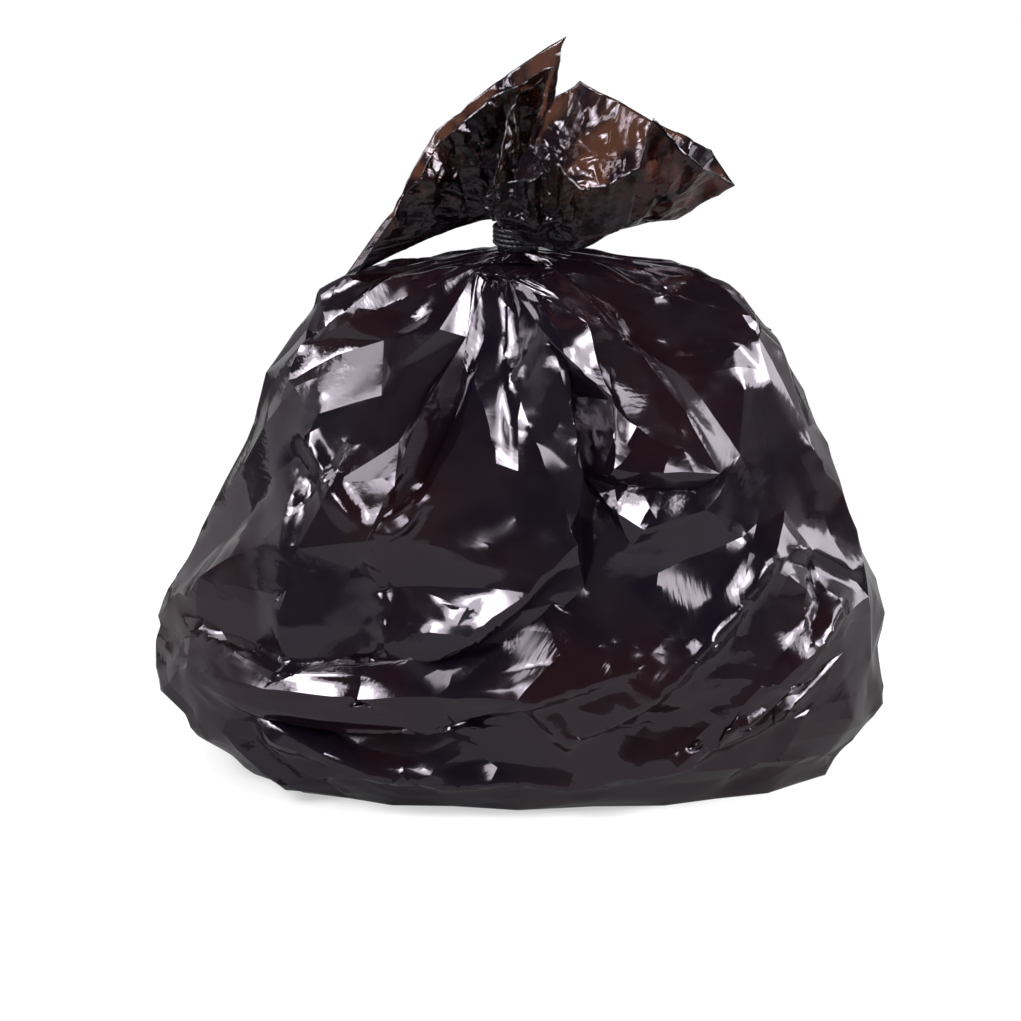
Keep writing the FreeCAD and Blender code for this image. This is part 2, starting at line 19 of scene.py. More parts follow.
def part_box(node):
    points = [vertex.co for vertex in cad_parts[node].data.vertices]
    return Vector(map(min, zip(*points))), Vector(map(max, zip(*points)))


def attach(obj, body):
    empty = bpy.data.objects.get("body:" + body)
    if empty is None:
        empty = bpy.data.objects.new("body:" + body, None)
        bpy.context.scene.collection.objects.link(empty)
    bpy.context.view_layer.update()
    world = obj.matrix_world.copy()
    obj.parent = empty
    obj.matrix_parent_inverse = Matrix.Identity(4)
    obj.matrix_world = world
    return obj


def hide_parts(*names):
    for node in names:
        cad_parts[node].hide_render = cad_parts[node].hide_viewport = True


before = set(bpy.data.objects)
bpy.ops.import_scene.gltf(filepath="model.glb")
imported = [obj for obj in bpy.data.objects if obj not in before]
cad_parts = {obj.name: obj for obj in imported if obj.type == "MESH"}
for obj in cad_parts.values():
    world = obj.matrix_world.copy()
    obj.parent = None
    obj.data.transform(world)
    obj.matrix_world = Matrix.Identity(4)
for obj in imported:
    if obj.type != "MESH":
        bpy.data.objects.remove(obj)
log = logging.getLogger("refuse_sack")

BODY = "root"
SACK_NODE = "tied_sack"
TIE_NODE = "neck_tie"
# thickness of the open mouth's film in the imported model, and neck left bare at each end of the tie
PACKED_WALL = 0.002
BARE_NECK = 0.0025
# lengths and areas below these, in metres and square metres, count as none
LEAST_LENGTH = 1e-9
LEAST_AREA = 1e-12
# how far a point may move along the film onto a fold, as a share of an edge
FOLD_MOVE = 0.6
# how far apart in the noise the patterns of two neighbouring seeds lie
SEED_STEP = (17.0, -5.3, 9.1)
# how far the noise usually goes to each side of 0, and the middle of what a noise node gives
NOISE_REACH = 0.5
NOISE_MIDDLE = 0.5
# steps that keep the noise patterns of one seed apart
FAMILY_STEP, PATCH_STEP, COVER_STEP = 31, 500, 900
WHITE = (1.0, 1.0, 1.0, 1.0)


class Stretch(Enum):
    """The two stretches of film that the neck parts."""

    FULL = "full"
    SLACK = "slack"


@dataclass
class FilmNet:
    """A net of triangles that carries a stretch of film.

    Attributes:
        points: the place of each point, in metres
        triangles: the three points of each triangle, counted so that it faces outwards
        sharpness: how sharp each edge is as a fold, from 0 to 1, in the order of edges
        edges: the two points of each edge
        keys: a number for each edge, which rises from edge to edge
        half_edge: the edge of each side of the triangles, all first sides before all second ones
        open_edge: True for each edge with a triangle on one side only
        valence: how many edges meet at each point
    """

    points: np.ndarray
    triangles: np.ndarray
    sharpness: np.ndarray | None = None
    edges: np.ndarray = field(init=False)
    keys: np.ndarray = field(init=False)
    half_edge: np.ndarray = field(init=False)
    open_edge: np.ndarray = field(init=False)
    valence: np.ndarray = field(init=False)

    def __post_init__(self) -> None:
        """Finds the edges, what they border, and how many meet at each point."""
        corners = self.triangles
        halves = np.concatenate([corners[:, [0, 1]], corners[:, [1, 2]], corners[:, [2, 0]]])
        found = np.unique(
            self.pair_keys(halves), return_index=True, return_inverse=True, return_counts=True
        )
        self.keys, first, inverse, uses = found
        self.edges = np.sort(halves[first], axis=1)
        self.half_edge = inverse.reshape(-1)
        self.open_edge = uses == 1
        self.valence = np.bincount(self.edges.ravel(), minlength=len(self.points))
        if self.sharpness is None:
            self.sharpness = np.zeros(len(self.edges))

    def pair_keys(self, pairs: np.ndarray) -> np.ndarray:
        """Gives each pair of points one number, whichever way round it is."""
        ordered = np.sort(pairs, axis=1).astype(np.int64)
        return ordered[:, 0] * len(self.points) + ordered[:, 1]

    def triangle_normals(self) -> np.ndarray:
        """Returns the outward direction of each triangle, with twice its area as its length."""
        a, b, c = (self.points[self.triangles[:, i]] for i in range(3))
        return np.cross(b - a, c - a)

    def normals(self) -> np.ndarray:
        """Finds the outward direction of the film at each point.

        Returns:
            A row of length 1 for each point.
        """
        faces = self.triangle_normals()
        total = np.zeros_like(self.points)
        for axis in range(3):
            for corner in range(3):
                total[:, axis] += np.bincount(
                    self.triangles[:, corner], faces[:, axis], len(self.points)
                )
        return total / np.maximum(np.linalg.norm(total, axis=1, keepdims=True), LEAST_AREA)

    def neighbour_mean(self, values: np.ndarray) -> np.ndarray:
        """Averages a value over the neighbours of each point.

        Args:
            values: one row for each point

        Returns:
            The mean of the neighbours' rows, for each point.
        """
        a, b = self.edges.T
        total = np.empty_like(values)
        for axis in range(values.shape[1]):
            total[:, axis] = np.bincount(a, values[b, axis], len(values))
            total[:, axis] += np.bincount(b, values[a, axis], len(values))
        return total / self.valence[:, None]

    def open_points(self) -> np.ndarray:
        """Finds the points on the net's open edges.

        Returns:
            True for each of them.
        """
        found = np.zeros(len(self.points), bool)
        found[self.edges[self.open_edge].ravel()] = True
        return found

    def fold_at_angles(self, smooth_below: float, sharp_above: float) -> None:
        """Marks edges as folds by the angle between the triangles on their two sides.

        Args:
            smooth_below: angle in degrees up to which an edge is no fold
            sharp_above: angle in degrees from which an edge is a full fold
        """
        faces = self.triangle_normals()
        faces /= np.linalg.norm(faces, axis=1, keepdims=True)
        owner = np.tile(np.arange(len(self.triangles)), 3)
        total = np.zeros((len(self.edges), 3))
        for axis in range(3):
            total[:, axis] = np.bincount(self.half_edge, faces[owner, axis], len(self.edges))
        half_angle = np.degrees(np.arccos(np.clip(np.linalg.norm(total, axis=1) / 2, -1, 1)))
        share = np.clip((2 * half_angle - smooth_below) / (sharp_above - smooth_below), 0, 1)
        self.sharpness = np.where(self.open_edge, 1.0, np.maximum(share, self.sharpness))

    def fit_fold(
        self,
        offset: np.ndarray,
        shown: np.ndarray,
        move: np.ndarray,
        taken: np.ndarray,
        sharpness: float = 1.0,
    ) -> None:
        """Moves points onto a line along the film, and marks the edges there as folds.

        Args:
            offset: how far each point lies from the line, below 0 on one side of it
            shown: True for each point beside the line
            move: for each point, the way along the film to the line
            taken: True for each point that stays; the points that move are added to it
            sharpness: sharpness of the fold
        """
        a, b = self.edges.T
        crossed = (offset[a] * offset[b] <= 0) & shown[a] & shown[b]
        nearer = np.where(np.abs(offset[a]) < np.abs(offset[b]), a, b)[crossed]
        chosen = np.zeros(len(offset), bool)
        chosen[nearer] = True
        edge = np.linalg.norm(self.points[a] - self.points[b], axis=1).mean()
        chosen &= ~taken & (np.linalg.norm(move, axis=1) < FOLD_MOVE * edge)
        self.points[chosen] += move[chosen]
        taken |= chosen
        self.sharpness[chosen[a] & chosen[b]] = sharpness

    def refined(self, fold_decay: float, most: int) -> "FilmNet":
        """Splits edges in half. Film curves gently between folds, and folds stay crisp.

        Args:
            fold_decay: the share of its sharpness that a fold keeps
            most: triangles that the finer net may have; beyond it only the longest edges split

        Returns:
            The finer net.
        """
        count = len(self.points)
        a, b = self.edges.T
        ends = self.points[a] + self.points[b]
        length = np.linalg.norm(self.points[a] - self.points[b], axis=1)
        allowed = (most - len(self.triangles)) // 2
        split = np.ones(len(a), bool)
        if allowed < len(a):
            split = length > np.sort(length)[-allowed]
        number = np.full(len(a), -1)
        number[split] = count + np.arange(split.sum())
        corners = self.triangles
        tips = np.concatenate([corners[:, 2], corners[:, 0], corners[:, 1]])
        tip_sum = np.empty_like(ends)
        for axis in range(3):
            tip_sum[:, axis] = np.bincount(self.half_edge, self.points[tips, axis], len(a))
        crisp = np.where(self.open_edge, 1.0, self.sharpness)[:, None]
        # in smooth film the ends count 3 to 1 against the tips beside the edge, as is usual for
        # nets of triangles, and a crisp edge is split at its middle
        between = (3 / 8 * ends + 1 / 8 * tip_sum) * (1 - crisp) + 1 / 2 * ends * crisp
        pull = 5 / 8 - (3 / 8 + 1 / 4 * np.cos(2 * np.pi / self.valence)) ** 2
        keep = np.zeros(count)
        np.maximum.at(keep, self.edges.ravel(), np.repeat(crisp[:, 0], 2))
        pull = (pull * (1 - keep))[:, None]
        moved = self.points * (1 - pull) + self.neighbour_mean(self.points) * pull
        finer = FilmNet(
            np.concatenate([moved, between[split]]),
            self.split_triangles(np.stack(np.split(number[self.half_edge], 3), axis=1)),
        )
        old = np.where(self.open_edge, 1.0, self.sharpness * fold_decay)
        for end in (a, b):
            halves = np.stack([end, number], axis=1)[split]
            finer.sharpness[np.searchsorted(finer.keys, finer.pair_keys(halves))] = old[split]
        whole = self.edges[~split]
        finer.sharpness[np.searchsorted(finer.keys, finer.pair_keys(whole))] = old[~split]
        return finer

    def split_triangles(self, middles: np.ndarray) -> np.ndarray:
        """Cuts the triangles at their edges' middles.

        Args:
            middles: the new point on each triangle's three edges, or -1 where the edge stays whole

        Returns:
            The new triangles.
        """
        has = middles >= 0
        p, q, r = self.triangles.T
        ab, bc, ca = middles.T
        cut = has.sum(axis=1)
        found = [self.triangles[cut == 0]]
        for part in ((p, ab, ca), (ab, q, bc), (ca, bc, r), (ab, bc, ca)):
            found.append(np.stack(part, axis=1)[cut == 3])
        for turn in range(3):
            p, q, r = np.roll(self.triangles, turn, axis=1).T
            ab, bc, ca = np.roll(middles, turn, axis=1).T
            one = (cut == 1) & (ab >= 0)
            for part in ((p, ab, r), (ab, q, r)):
                found.append(np.stack(part, axis=1)[one])
            two = (cut == 2) & (ca < 0)
            for part in ((ab, q, bc), (p, ab, bc), (p, bc, r)):
                found.append(np.stack(part, axis=1)[two])
        return np.concatenate(found)


def smooth_step(value: np.ndarray, low: float, high: float) -> np.ndarray:
    """Rises smoothly from 0 at low to 1 at high."""
    share = np.clip((value - low) / (high - low), 0, 1)
    return share * share * (3 - 2 * share)


def patches(points: np.ndarray, size: float, seed: int) -> np.ndarray:
    """Gives each point a smooth random value.

    Args:
        points: places in metres
        size: how far apart the values differ, in metres
        seed: a number that picks the pattern

    Returns:
        Values from about -1 to 1.
    """
    shift = Vector([step * seed for step in SEED_STEP])
    return np.array([noise.noise(Vector(point) / size + shift) for point in points])


@dataclass
class Crumple:
    """Straight creases that cross each other in patches, as in handled film.

    Attributes:
        size: the usual distance between the creases of one family
        steepness: the slope of the facets between them
        cover: share of the film that they cover
        lay: how much their directions point along X, Y and Z
        seed: a number that picks the pattern
        families: how many directions they run in
        spacings: least and greatest distance between a family's creases, as shares of the size
        bend_size: how far apart a family's creases bend differently, in their own spacings
        bend: how far they bend off a straight line, in spacings
        patch_size: how far apart the patches where a family shows lie, in spacings
        patch_edge: rise of the noise from where creases begin to where they show in full
        cover_size: how far apart covered and plain film lie, in metres
        least_shown: how strongly a crease shows from which the net is fitted to it
        least_across: how squarely it cuts the film from which the net is fitted to it
        near: how near to it a point of the net is fitted, in half spacings
    """

    size: float
    steepness: float
    cover: float
    lay: tuple[float, float, float]
    seed: int
    families: int = 6
    spacings: tuple[float, float] = (0.6, 1.6)
    bend_size: float = 3.0
    bend: float = 0.6
    patch_size: float = 2.2
    patch_edge: float = 0.2
    cover_size: float = 0.10
    least_shown: float = 0.4
    least_across: float = 0.2
    near: float = 0.45

    def lines(self, points: np.ndarray) -> Iterator[tuple]:
        """Lays out the creases, one family after the other.

        Args:
            points: places in metres

        Yields:
            The family's direction across its creases, their spacing, and for each point how many
            half spacings it lies along that direction and how strongly the family shows there.
        """
        source = np.random.default_rng(self.seed)
        for family in range(self.families):
            direction = source.normal(size=3) * self.lay
            direction /= np.linalg.norm(direction)
            spacing = self.size * source.uniform(*self.spacings)
            pattern = self.seed * FAMILY_STEP + family
            bend = patches(points, spacing * self.bend_size, pattern) * spacing * self.bend
            phase = (points @ direction + bend) / spacing + source.uniform(0, 1)
            shown = patches(points, spacing * self.patch_size, pattern + PATCH_STEP)
            yield direction, spacing, 2 * phase, smooth_step(shown, 0.0, self.patch_edge)

    def lift(self, points: np.ndarray) -> np.ndarray:
        """Says how far the creases lift each point off the plain film.

        Args:
            points: places in metres

        Returns:
            The lifts, in metres.
        """
        total = np.zeros(len(points))
        for _, spacing, steps, where in self.lines(points):
            wave = np.abs((steps % 2.0) - 1) - 0.5
            total += wave * where * spacing * self.steepness / 2
        return total * self.covered(points)

    def covered(self, points: np.ndarray) -> np.ndarray:
        """Says how much of the film at each point the creases cover.

        Args:
            points: places in metres

        Returns:
            Shares from 0 to 1.
        """
        if self.cover >= 1.0:
            return np.ones(len(points))
        edge = NOISE_REACH - self.cover
        pattern = patches(points, self.cover_size, self.seed + COVER_STEP)
        return smooth_step(pattern, edge, edge + self.patch_edge)

    def follow(self, net: FilmNet, share: np.ndarray) -> None:
        """Moves points of the net along the film onto the creases, and marks its edges there.

        Args:
            net: the net
            share: how strongly the creases show at each point, from 0 to 1
        """
        normals = net.normals()
        taken = net.open_points()
        shown = share * self.covered(net.points)
        for direction, spacing, steps, where in self.lines(net.points):
            offset = steps - np.round(steps)
            across = direction - normals * (normals @ direction)[:, None]
            squarely = np.sum(across**2, axis=1)
            run = -offset / 2 * spacing / np.maximum(squarely, self.least_across)
            beside = (squarely > self.least_across) & (np.abs(offset) < self.near)
            beside &= where * shown > self.least_shown
            net.fit_fold(offset, beside, across * run[:, None], taken)


@dataclass(frozen=True)
class LongFold:
    """A long fold on the front of the sack, gentle on one side and steep on the other.

    Attributes:
        course: its points as seen from the front, in metres to the right and up
        height: how far its ridge stands out
        gentle: width of its side to the left of the course
        steep: width of its side to the right
        sharpness: how sharp its ridge is, from 0 to 1
        corner_cut: how far from its corners the course is cut, as a share of its runs
        fade: share of its length over which it fades out at each end
        loose_end: share of its length at each end that the net isn't fitted to
        least_facing: how squarely the film faces the front from which the net is fitted
    """

    course: tuple
    height: float = 0.009
    gentle: float = 0.026
    steep: float = 0.009
    sharpness: float = 0.55
    corner_cut: float = 0.25
    fade: float = 0.25
    loose_end: float = 0.02
    least_facing: float = 0.35

    def curve(self) -> np.ndarray:
        """Rounds the corners of the course twice.

        Returns:
            The points of the rounded course.
        """
        points = np.array(self.course)
        for _ in range(2):
            early = points[:-1] * (1 - self.corner_cut) + points[1:] * self.corner_cut
            late = points[:-1] * self.corner_cut + points[1:] * (1 - self.corner_cut)
            between = np.stack([early, late], axis=1).reshape(-1, 2)
            points = np.vstack([points[:1], between, points[-1:]])
        return points

    def beside(self, points: np.ndarray) -> tuple[np.ndarray, np.ndarray, np.ndarray]:
        """Measures points against the fold's course, as seen from the front.

        Args:
            points: places in metres

        Returns:
            The distance from the course, above 0 on its left; how far along it the point lies, from
            0 to 1; and the nearest place on it.
        """
        flat = points[:, [0, 2]]
        curve = self.curve()
        spans = np.linalg.norm(np.diff(curve, axis=0), axis=1)
        before = np.concatenate([[0.0], np.cumsum(spans)])
        offset = np.full(len(flat), np.inf)
        share = np.zeros(len(flat))
        nearest = np.zeros_like(flat)
        for start, end, span, run in zip(curve, curve[1:], spans, before):
            way = (end - start) / span
            along = np.clip((flat - start) @ way, 0, span)
            place = start + along[:, None] * way
            off = flat - place
            side = np.where(way[0] * off[:, 1] - way[1] * off[:, 0] < 0, -1.0, 1.0)
            far = np.linalg.norm(off, axis=1)
            better = far < np.abs(offset)
            offset[better] = (side * far)[better]
            share[better] = (run + along[better]) / before[-1]
            nearest[better] = place[better]
        return offset, share, nearest

    def lift(self, points: np.ndarray) -> np.ndarray:
        """Says how far the fold lifts each point off the plain film.

        Args:
            points: places in metres

        Returns:
            The lifts, in metres.
        """
        offset, share, _ = self.beside(points)
        width = np.where(offset > 0, self.gentle, self.steep)
        fade = smooth_step(share, 0.0, self.fade) * (1 - smooth_step(share, 1 - self.fade, 1.0))
        tent = np.maximum(0, 1 - np.abs(offset) / width)
        return tent * fade * self.height * (points[:, 1] < 0)

    def follow(self, net: FilmNet, taken: np.ndarray) -> None:
        """Fits the net to the fold's ridge.

        Args:
            net: the net
            taken: True for each point that stays; the points that move are added to it
        """
        offset, share, nearest = self.beside(net.points)
        normals = net.normals()
        way = nearest - net.points[:, [0, 2]]
        facing = np.minimum(normals[:, 1], -self.least_facing)
        in_depth = -np.sum(way * normals[:, [0, 2]], axis=1) / facing
        move = np.stack([way[:, 0], in_depth, way[:, 1]], axis=1)
        beside = (net.points[:, 1] < 0) & (normals[:, 1] < -self.least_facing)
        beside &= (share > self.loose_end) & (share < 1 - self.loose_end)
        beside &= np.abs(offset) < self.gentle / 2
        net.fit_fold(offset, beside, move, taken, self.sharpness)


@dataclass
class Pleats:
    """Folds of film that run down from the tied neck and fade out on the shoulders.

    Attributes:
        centre: middle of the foot of the neck
        radius: radius of the neck
        count: number of folds
        shortest: length of the shortest fold
        longest: length of the longest fold
        narrowest: half the width of a fold at the neck
        spread: how much wider it gets, for each metre down
        steepness: slope of its sides
        lean: how far folds stray sideways, in radians
        seed: a number that picks the pattern
        jitter: how far folds stray from even places round the neck, as a share of their distance
        widths: least and greatest width, as shares of the usual width
        outwards: 1 for a fold that stands out and -1 for one that goes in, drawn evenly
        rise: length over which they rise from the neck
        fade_from: share of a fold's length from which it fades out
    """

    centre: tuple[float, float, float]
    radius: float
    count: int = 60
    shortest: float = 0.04
    longest: float = 0.30
    narrowest: float = 0.002
    spread: float = 0.045
    steepness: float = 0.42
    lean: float = 0.16
    seed: int = 5
    jitter: float = 0.4
    widths: tuple[float, float] = (0.7, 1.5)
    outwards: tuple[float, ...] = (-1.0, 1.0, 1.0)
    rise: float = 0.012
    fade_from: float = 0.45

    def lift(self, points: np.ndarray) -> np.ndarray:
        """Says how far the folds lift each point off the plain film.

        Args:
            points: places in metres

        Returns:
            The lifts, in metres.
        """
        source = np.random.default_rng(self.seed)
        off = points - np.array(self.centre)
        radial = np.hypot(off[:, 0], off[:, 1])
        angle = np.arctan2(off[:, 1], off[:, 0])
        run = np.maximum(np.hypot(radial, off[:, 2]) - self.radius, 0)
        half = self.narrowest + self.spread * run
        total = np.zeros(len(points))
        for index in range(self.count):
            share = source.uniform() ** 2
            length = self.shortest * (self.longest / self.shortest) ** share
            turn = 2 * math.pi * (index + source.uniform(-self.jitter, self.jitter)) / self.count
            stray = source.normal(scale=self.lean)
            side = source.choice(self.outwards)
            width = half * source.uniform(*self.widths)
            across = (angle - turn - stray * run / length + math.pi) % (2 * math.pi) - math.pi
            fade = smooth_step(run, 0.0, self.rise)
            fade *= 1 - smooth_step(run, self.fade_from * length, length)
            tent = np.maximum(0, 1 - np.abs(across) * radial / width)
            total += side * tent * width * self.steepness * fade
        return total


@dataclass
class FilmSettler:
    """Lets a net of film, which is a little too large for its place, buckle into creases.

    Attributes:
        excess: share by which the film is longer than its place
        stiffness: how strongly flat film resists a bend, from 0 to 0.5
        reach: how far a point may move, in metres
        rounds: how many steps are taken
        crease: the bend, as a share of an edge, beyond which the film creases and gives way
        hold: how strongly the filling holds it in place, from 0 to 1
        relief: share of its mean stretch that a point gives up in a step
        drift: share of each step that carries on into the next
    """

    excess: float
    stiffness: float
    reach: float
    rounds: int
    crease: float = 0.02
    hold: float = 0.001
    relief: float = 0.8
    drift: float = 0.9

    def settle(self, net: FilmNet, fixed: np.ndarray, slack: np.ndarray) -> np.ndarray:
        """Moves the points until the film has its length.

        Args:
            net: the film in its place, which gives its lengths
            fixed: True for each point that stays
            slack: how many times the usual excess each edge has

        Returns:
            The new place of each point.
        """
        rest = net.points
        a, b = net.edges.T
        length = np.linalg.norm(rest[a] - rest[b], axis=1) * (1 + self.excess * slack)
        share = (self.relief / net.valence)[:, None]
        rest_curve = net.neighbour_mean(rest) - rest
        give_way = (self.crease * length.mean()) ** 2
        points, before = rest.copy(), rest.copy()
        loose = ~fixed[:, None]
        move = np.empty_like(points)
        for _ in range(self.rounds):
            span = points[b] - points[a]
            now = np.linalg.norm(span, axis=1)
            pull = span * ((now - length) / np.maximum(now, LEAST_LENGTH))[:, None]
            for axis in range(3):
                move[:, axis] = np.bincount(a, pull[:, axis], len(points))
                move[:, axis] -= np.bincount(b, pull[:, axis], len(points))
            curve = net.neighbour_mean(points) - points - rest_curve
            curve /= 1 + np.sum(curve**2, axis=1, keepdims=True) / give_way
            bend = net.neighbour_mean(curve) - curve
            step = move * share - self.stiffness * bend + self.hold * (rest - points)
            step += (points - before) * self.drift
            before = points
            points = points + step * loose
            off = points - rest
            far = np.linalg.norm(off, axis=1, keepdims=True)
            points = rest + off * np.minimum(1.0, self.reach / np.maximum(far, LEAST_LENGTH))
        return points


@dataclass
class CreaseStage:
    """How the film is creased once its net has been split a number of times.

    Attributes:
        size: the usual distance between creases
        steepness: the slope of the facets between them
        cover: share of the film that they cover
        seed: a number that picks the pattern
        settler: how the film then settles
        upright_lay: how much upright creases' directions across them point along X, Y and Z
        level_lay: the same for level creases
    """

    size: float
    steepness: float
    cover: float
    seed: int
    settler: FilmSettler
    upright_lay: tuple[float, float, float] = (1.0, 1.0, 0.35)
    level_lay: tuple[float, float, float] = (0.35, 0.35, 1.0)

    def lift(self, net: FilmNet, hanging: np.ndarray) -> np.ndarray:
        """Fits the net to the creases and says how far they lift its points.

        Args:
            net: the film
            hanging: 1 where the film hangs in upright folds, 0 where it is pressed into level ones

        Returns:
            The lift of each point off the plain film, in metres.
        """
        upright = Crumple(self.size, self.steepness, self.cover, self.upright_lay, self.seed)
        level = Crumple(self.size, self.steepness, self.cover, self.level_lay, self.seed + 1)
        upright.follow(net, hanging)
        level.follow(net, 1 - hanging)
        return upright.lift(net.points) * hanging + level.lift(net.points) * (1 - hanging)


def read_outer_skin(wall: float, neck_foot: float) -> dict[Stretch, FilmNet]:
    """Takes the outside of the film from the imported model, as one net below the neck and one above.

    Args:
        wall: thickness of the open mouth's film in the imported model
        neck_foot: height of the foot of the neck

    Returns:
        The two nets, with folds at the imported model's own edges.
    """
    joined, tiny = wall / 200, wall / 50
    mesh = bmesh.new()
    mesh.from_mesh(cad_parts[SACK_NODE].data)
    bmesh.ops.remove_doubles(mesh, verts=mesh.verts, dist=joined)
    bmesh.ops.triangulate(mesh, faces=mesh.faces)
    mesh.faces.ensure_lookup_table()
    start = min(mesh.faces, key=lambda face: face.calc_center_median().z)
    skin, waiting = {start}, [start]
    while waiting:
        for edge in waiting.pop().edges:
            for face in edge.link_faces:
                rim = any(abs(side.calc_length() - wall) < tiny for side in face.edges)
                if face not in skin and not rim:
                    skin.add(face)
                    waiting.append(face)
    nets = {}
    for stretch in Stretch:
        chosen = []
        for face in sorted(skin, key=lambda face: face.index):
            heights = [vertex.co.z for vertex in face.verts]
            on_floor = max(heights) < tiny
            below = max(heights) < neck_foot + tiny
            if not on_floor and below == (stretch is Stretch.FULL):
                chosen.append([vertex.index for vertex in face.verts])
        used, numbers = np.unique(np.array(chosen), return_inverse=True)
        mesh.verts.ensure_lookup_table()
        places = np.array([mesh.verts[int(index)].co[:] for index in used], float)
        nets[stretch] = FilmNet(places, numbers.reshape(-1, 3))
    mesh.free()
    return nets


def add_mesh(name: str, points: np.ndarray, faces: list, smooth: bool = True) -> bpy.types.Object:
    """Adds a mesh object at the origin.

    Args:
        name: the piece's name
        points: places in metres
        faces: lists of point numbers
        smooth: whether the faces shade into each other

    Returns:
        The new object.
    """
    data = bpy.data.meshes.new(name)
    data.from_pydata(points.tolist(), [], faces)
    data.polygons.foreach_set("use_smooth", [smooth] * len(data.polygons))
    data.update()
    piece = bpy.data.objects.new(name, data)
    bpy.context.scene.collection.objects.link(piece)
    return piece


def crease_sharply(piece: bpy.types.Object, net: FilmNet, least: float) -> None:
    """Keeps the film's shading apart on the two sides of its sharpest folds.

    Args:
        piece: the object that holds the net
        net: the net
        least: sharpness from which a fold counts
    """
    data = piece.data
    ends = np.empty(2 * len(data.edges), dtype=np.int32)
    data.edges.foreach_get("vertices", ends)
    folds = net.keys[(net.sharpness > least) & ~net.open_edge]
    marked = np.isin(net.pair_keys(ends.reshape(-1, 2)), folds)
    sharp = data.attributes.new("sharp_edge", "BOOLEAN", "EDGE")
    sharp.data.foreach_set("value", marked)


def ring_in_order(net: FilmNet, chosen: np.ndarray) -> list[int]:
    """Follows a closed run of open edges.

    Args:
        net: the net
        chosen: True for each edge of the run

    Returns:
        The run's points, in order, with the net's faces on the left.
    """
    corners = net.triangles
    halves = np.concatenate([corners[:, [0, 1]], corners[:, [1, 2]], corners[:, [2, 0]]])
    after = {int(a): int(b) for (a, b), edge in zip(halves, net.half_edge) if chosen[edge]}
    first = min(after)
    order = [first]
    while after[order[-1]] != first:
        order.append(after[order[-1]])
    return order


@dataclass
class NodeBench:
    """Builds one material's or tree's nodes with short calls.

    Attributes:
        tree: the node tree that they are added to
    """

    tree: bpy.types.NodeTree

    def add(self, kind: str, inputs: dict | None = None, **settings: object) -> bpy.types.Node:
        """Adds a node.

        Args:
            kind: the node's type
            inputs: socket name or number to a value or another node's output
            settings: the node's own properties

        Returns:
            The node.
        """
        node = self.tree.nodes.new(kind)
        for name, value in settings.items():
            setattr(node, name, value)
        for socket, value in (inputs or {}).items():
            if isinstance(value, bpy.types.NodeSocket):
                self.tree.links.new(value, node.inputs[socket])
            else:
                node.inputs[socket].default_value = value
        return node

    def math(
        self, operation: str, *values: float | bpy.types.NodeSocket
    ) -> bpy.types.NodeSocket:
        """Adds a math node and returns its output."""
        node = self.add("ShaderNodeMath", dict(enumerate(values)), operation=operation)
        return node.outputs[0]

    def ramp(self, value: bpy.types.NodeSocket, stops: Sequence[tuple]) -> bpy.types.NodeSocket:
        """Adds a grey colour ramp over a value, with its stops' places and greys.

        Args:
            value: the value
            stops: place and grey of each stop

        Returns:
            The ramp's grey.
        """
        node = self.add("ShaderNodeValToRGB", {"Fac": value})
        elements = node.color_ramp.elements
        for place, grey in stops[len(elements):]:
            elements.new(place)
        for element, (place, grey) in zip(elements, stops):
            element.position = place
            element.color = (grey, grey, grey, 1.0)
        return node.outputs["Color"]

    def map_range(
        self, value: bpy.types.NodeSocket, given: Sequence[float], wanted: Sequence[float]
    ) -> bpy.types.NodeSocket:
        """Adds a node that maps a value from one range to another, without going past its ends.

        Args:
            value: the value
            given: the two ends of its range
            wanted: what the ends become

        Returns:
            The new value.
        """
        ends = dict(enumerate((*given, *wanted), start=1))
        return self.add("ShaderNodeMapRange", {0: value, **ends}).outputs[0]


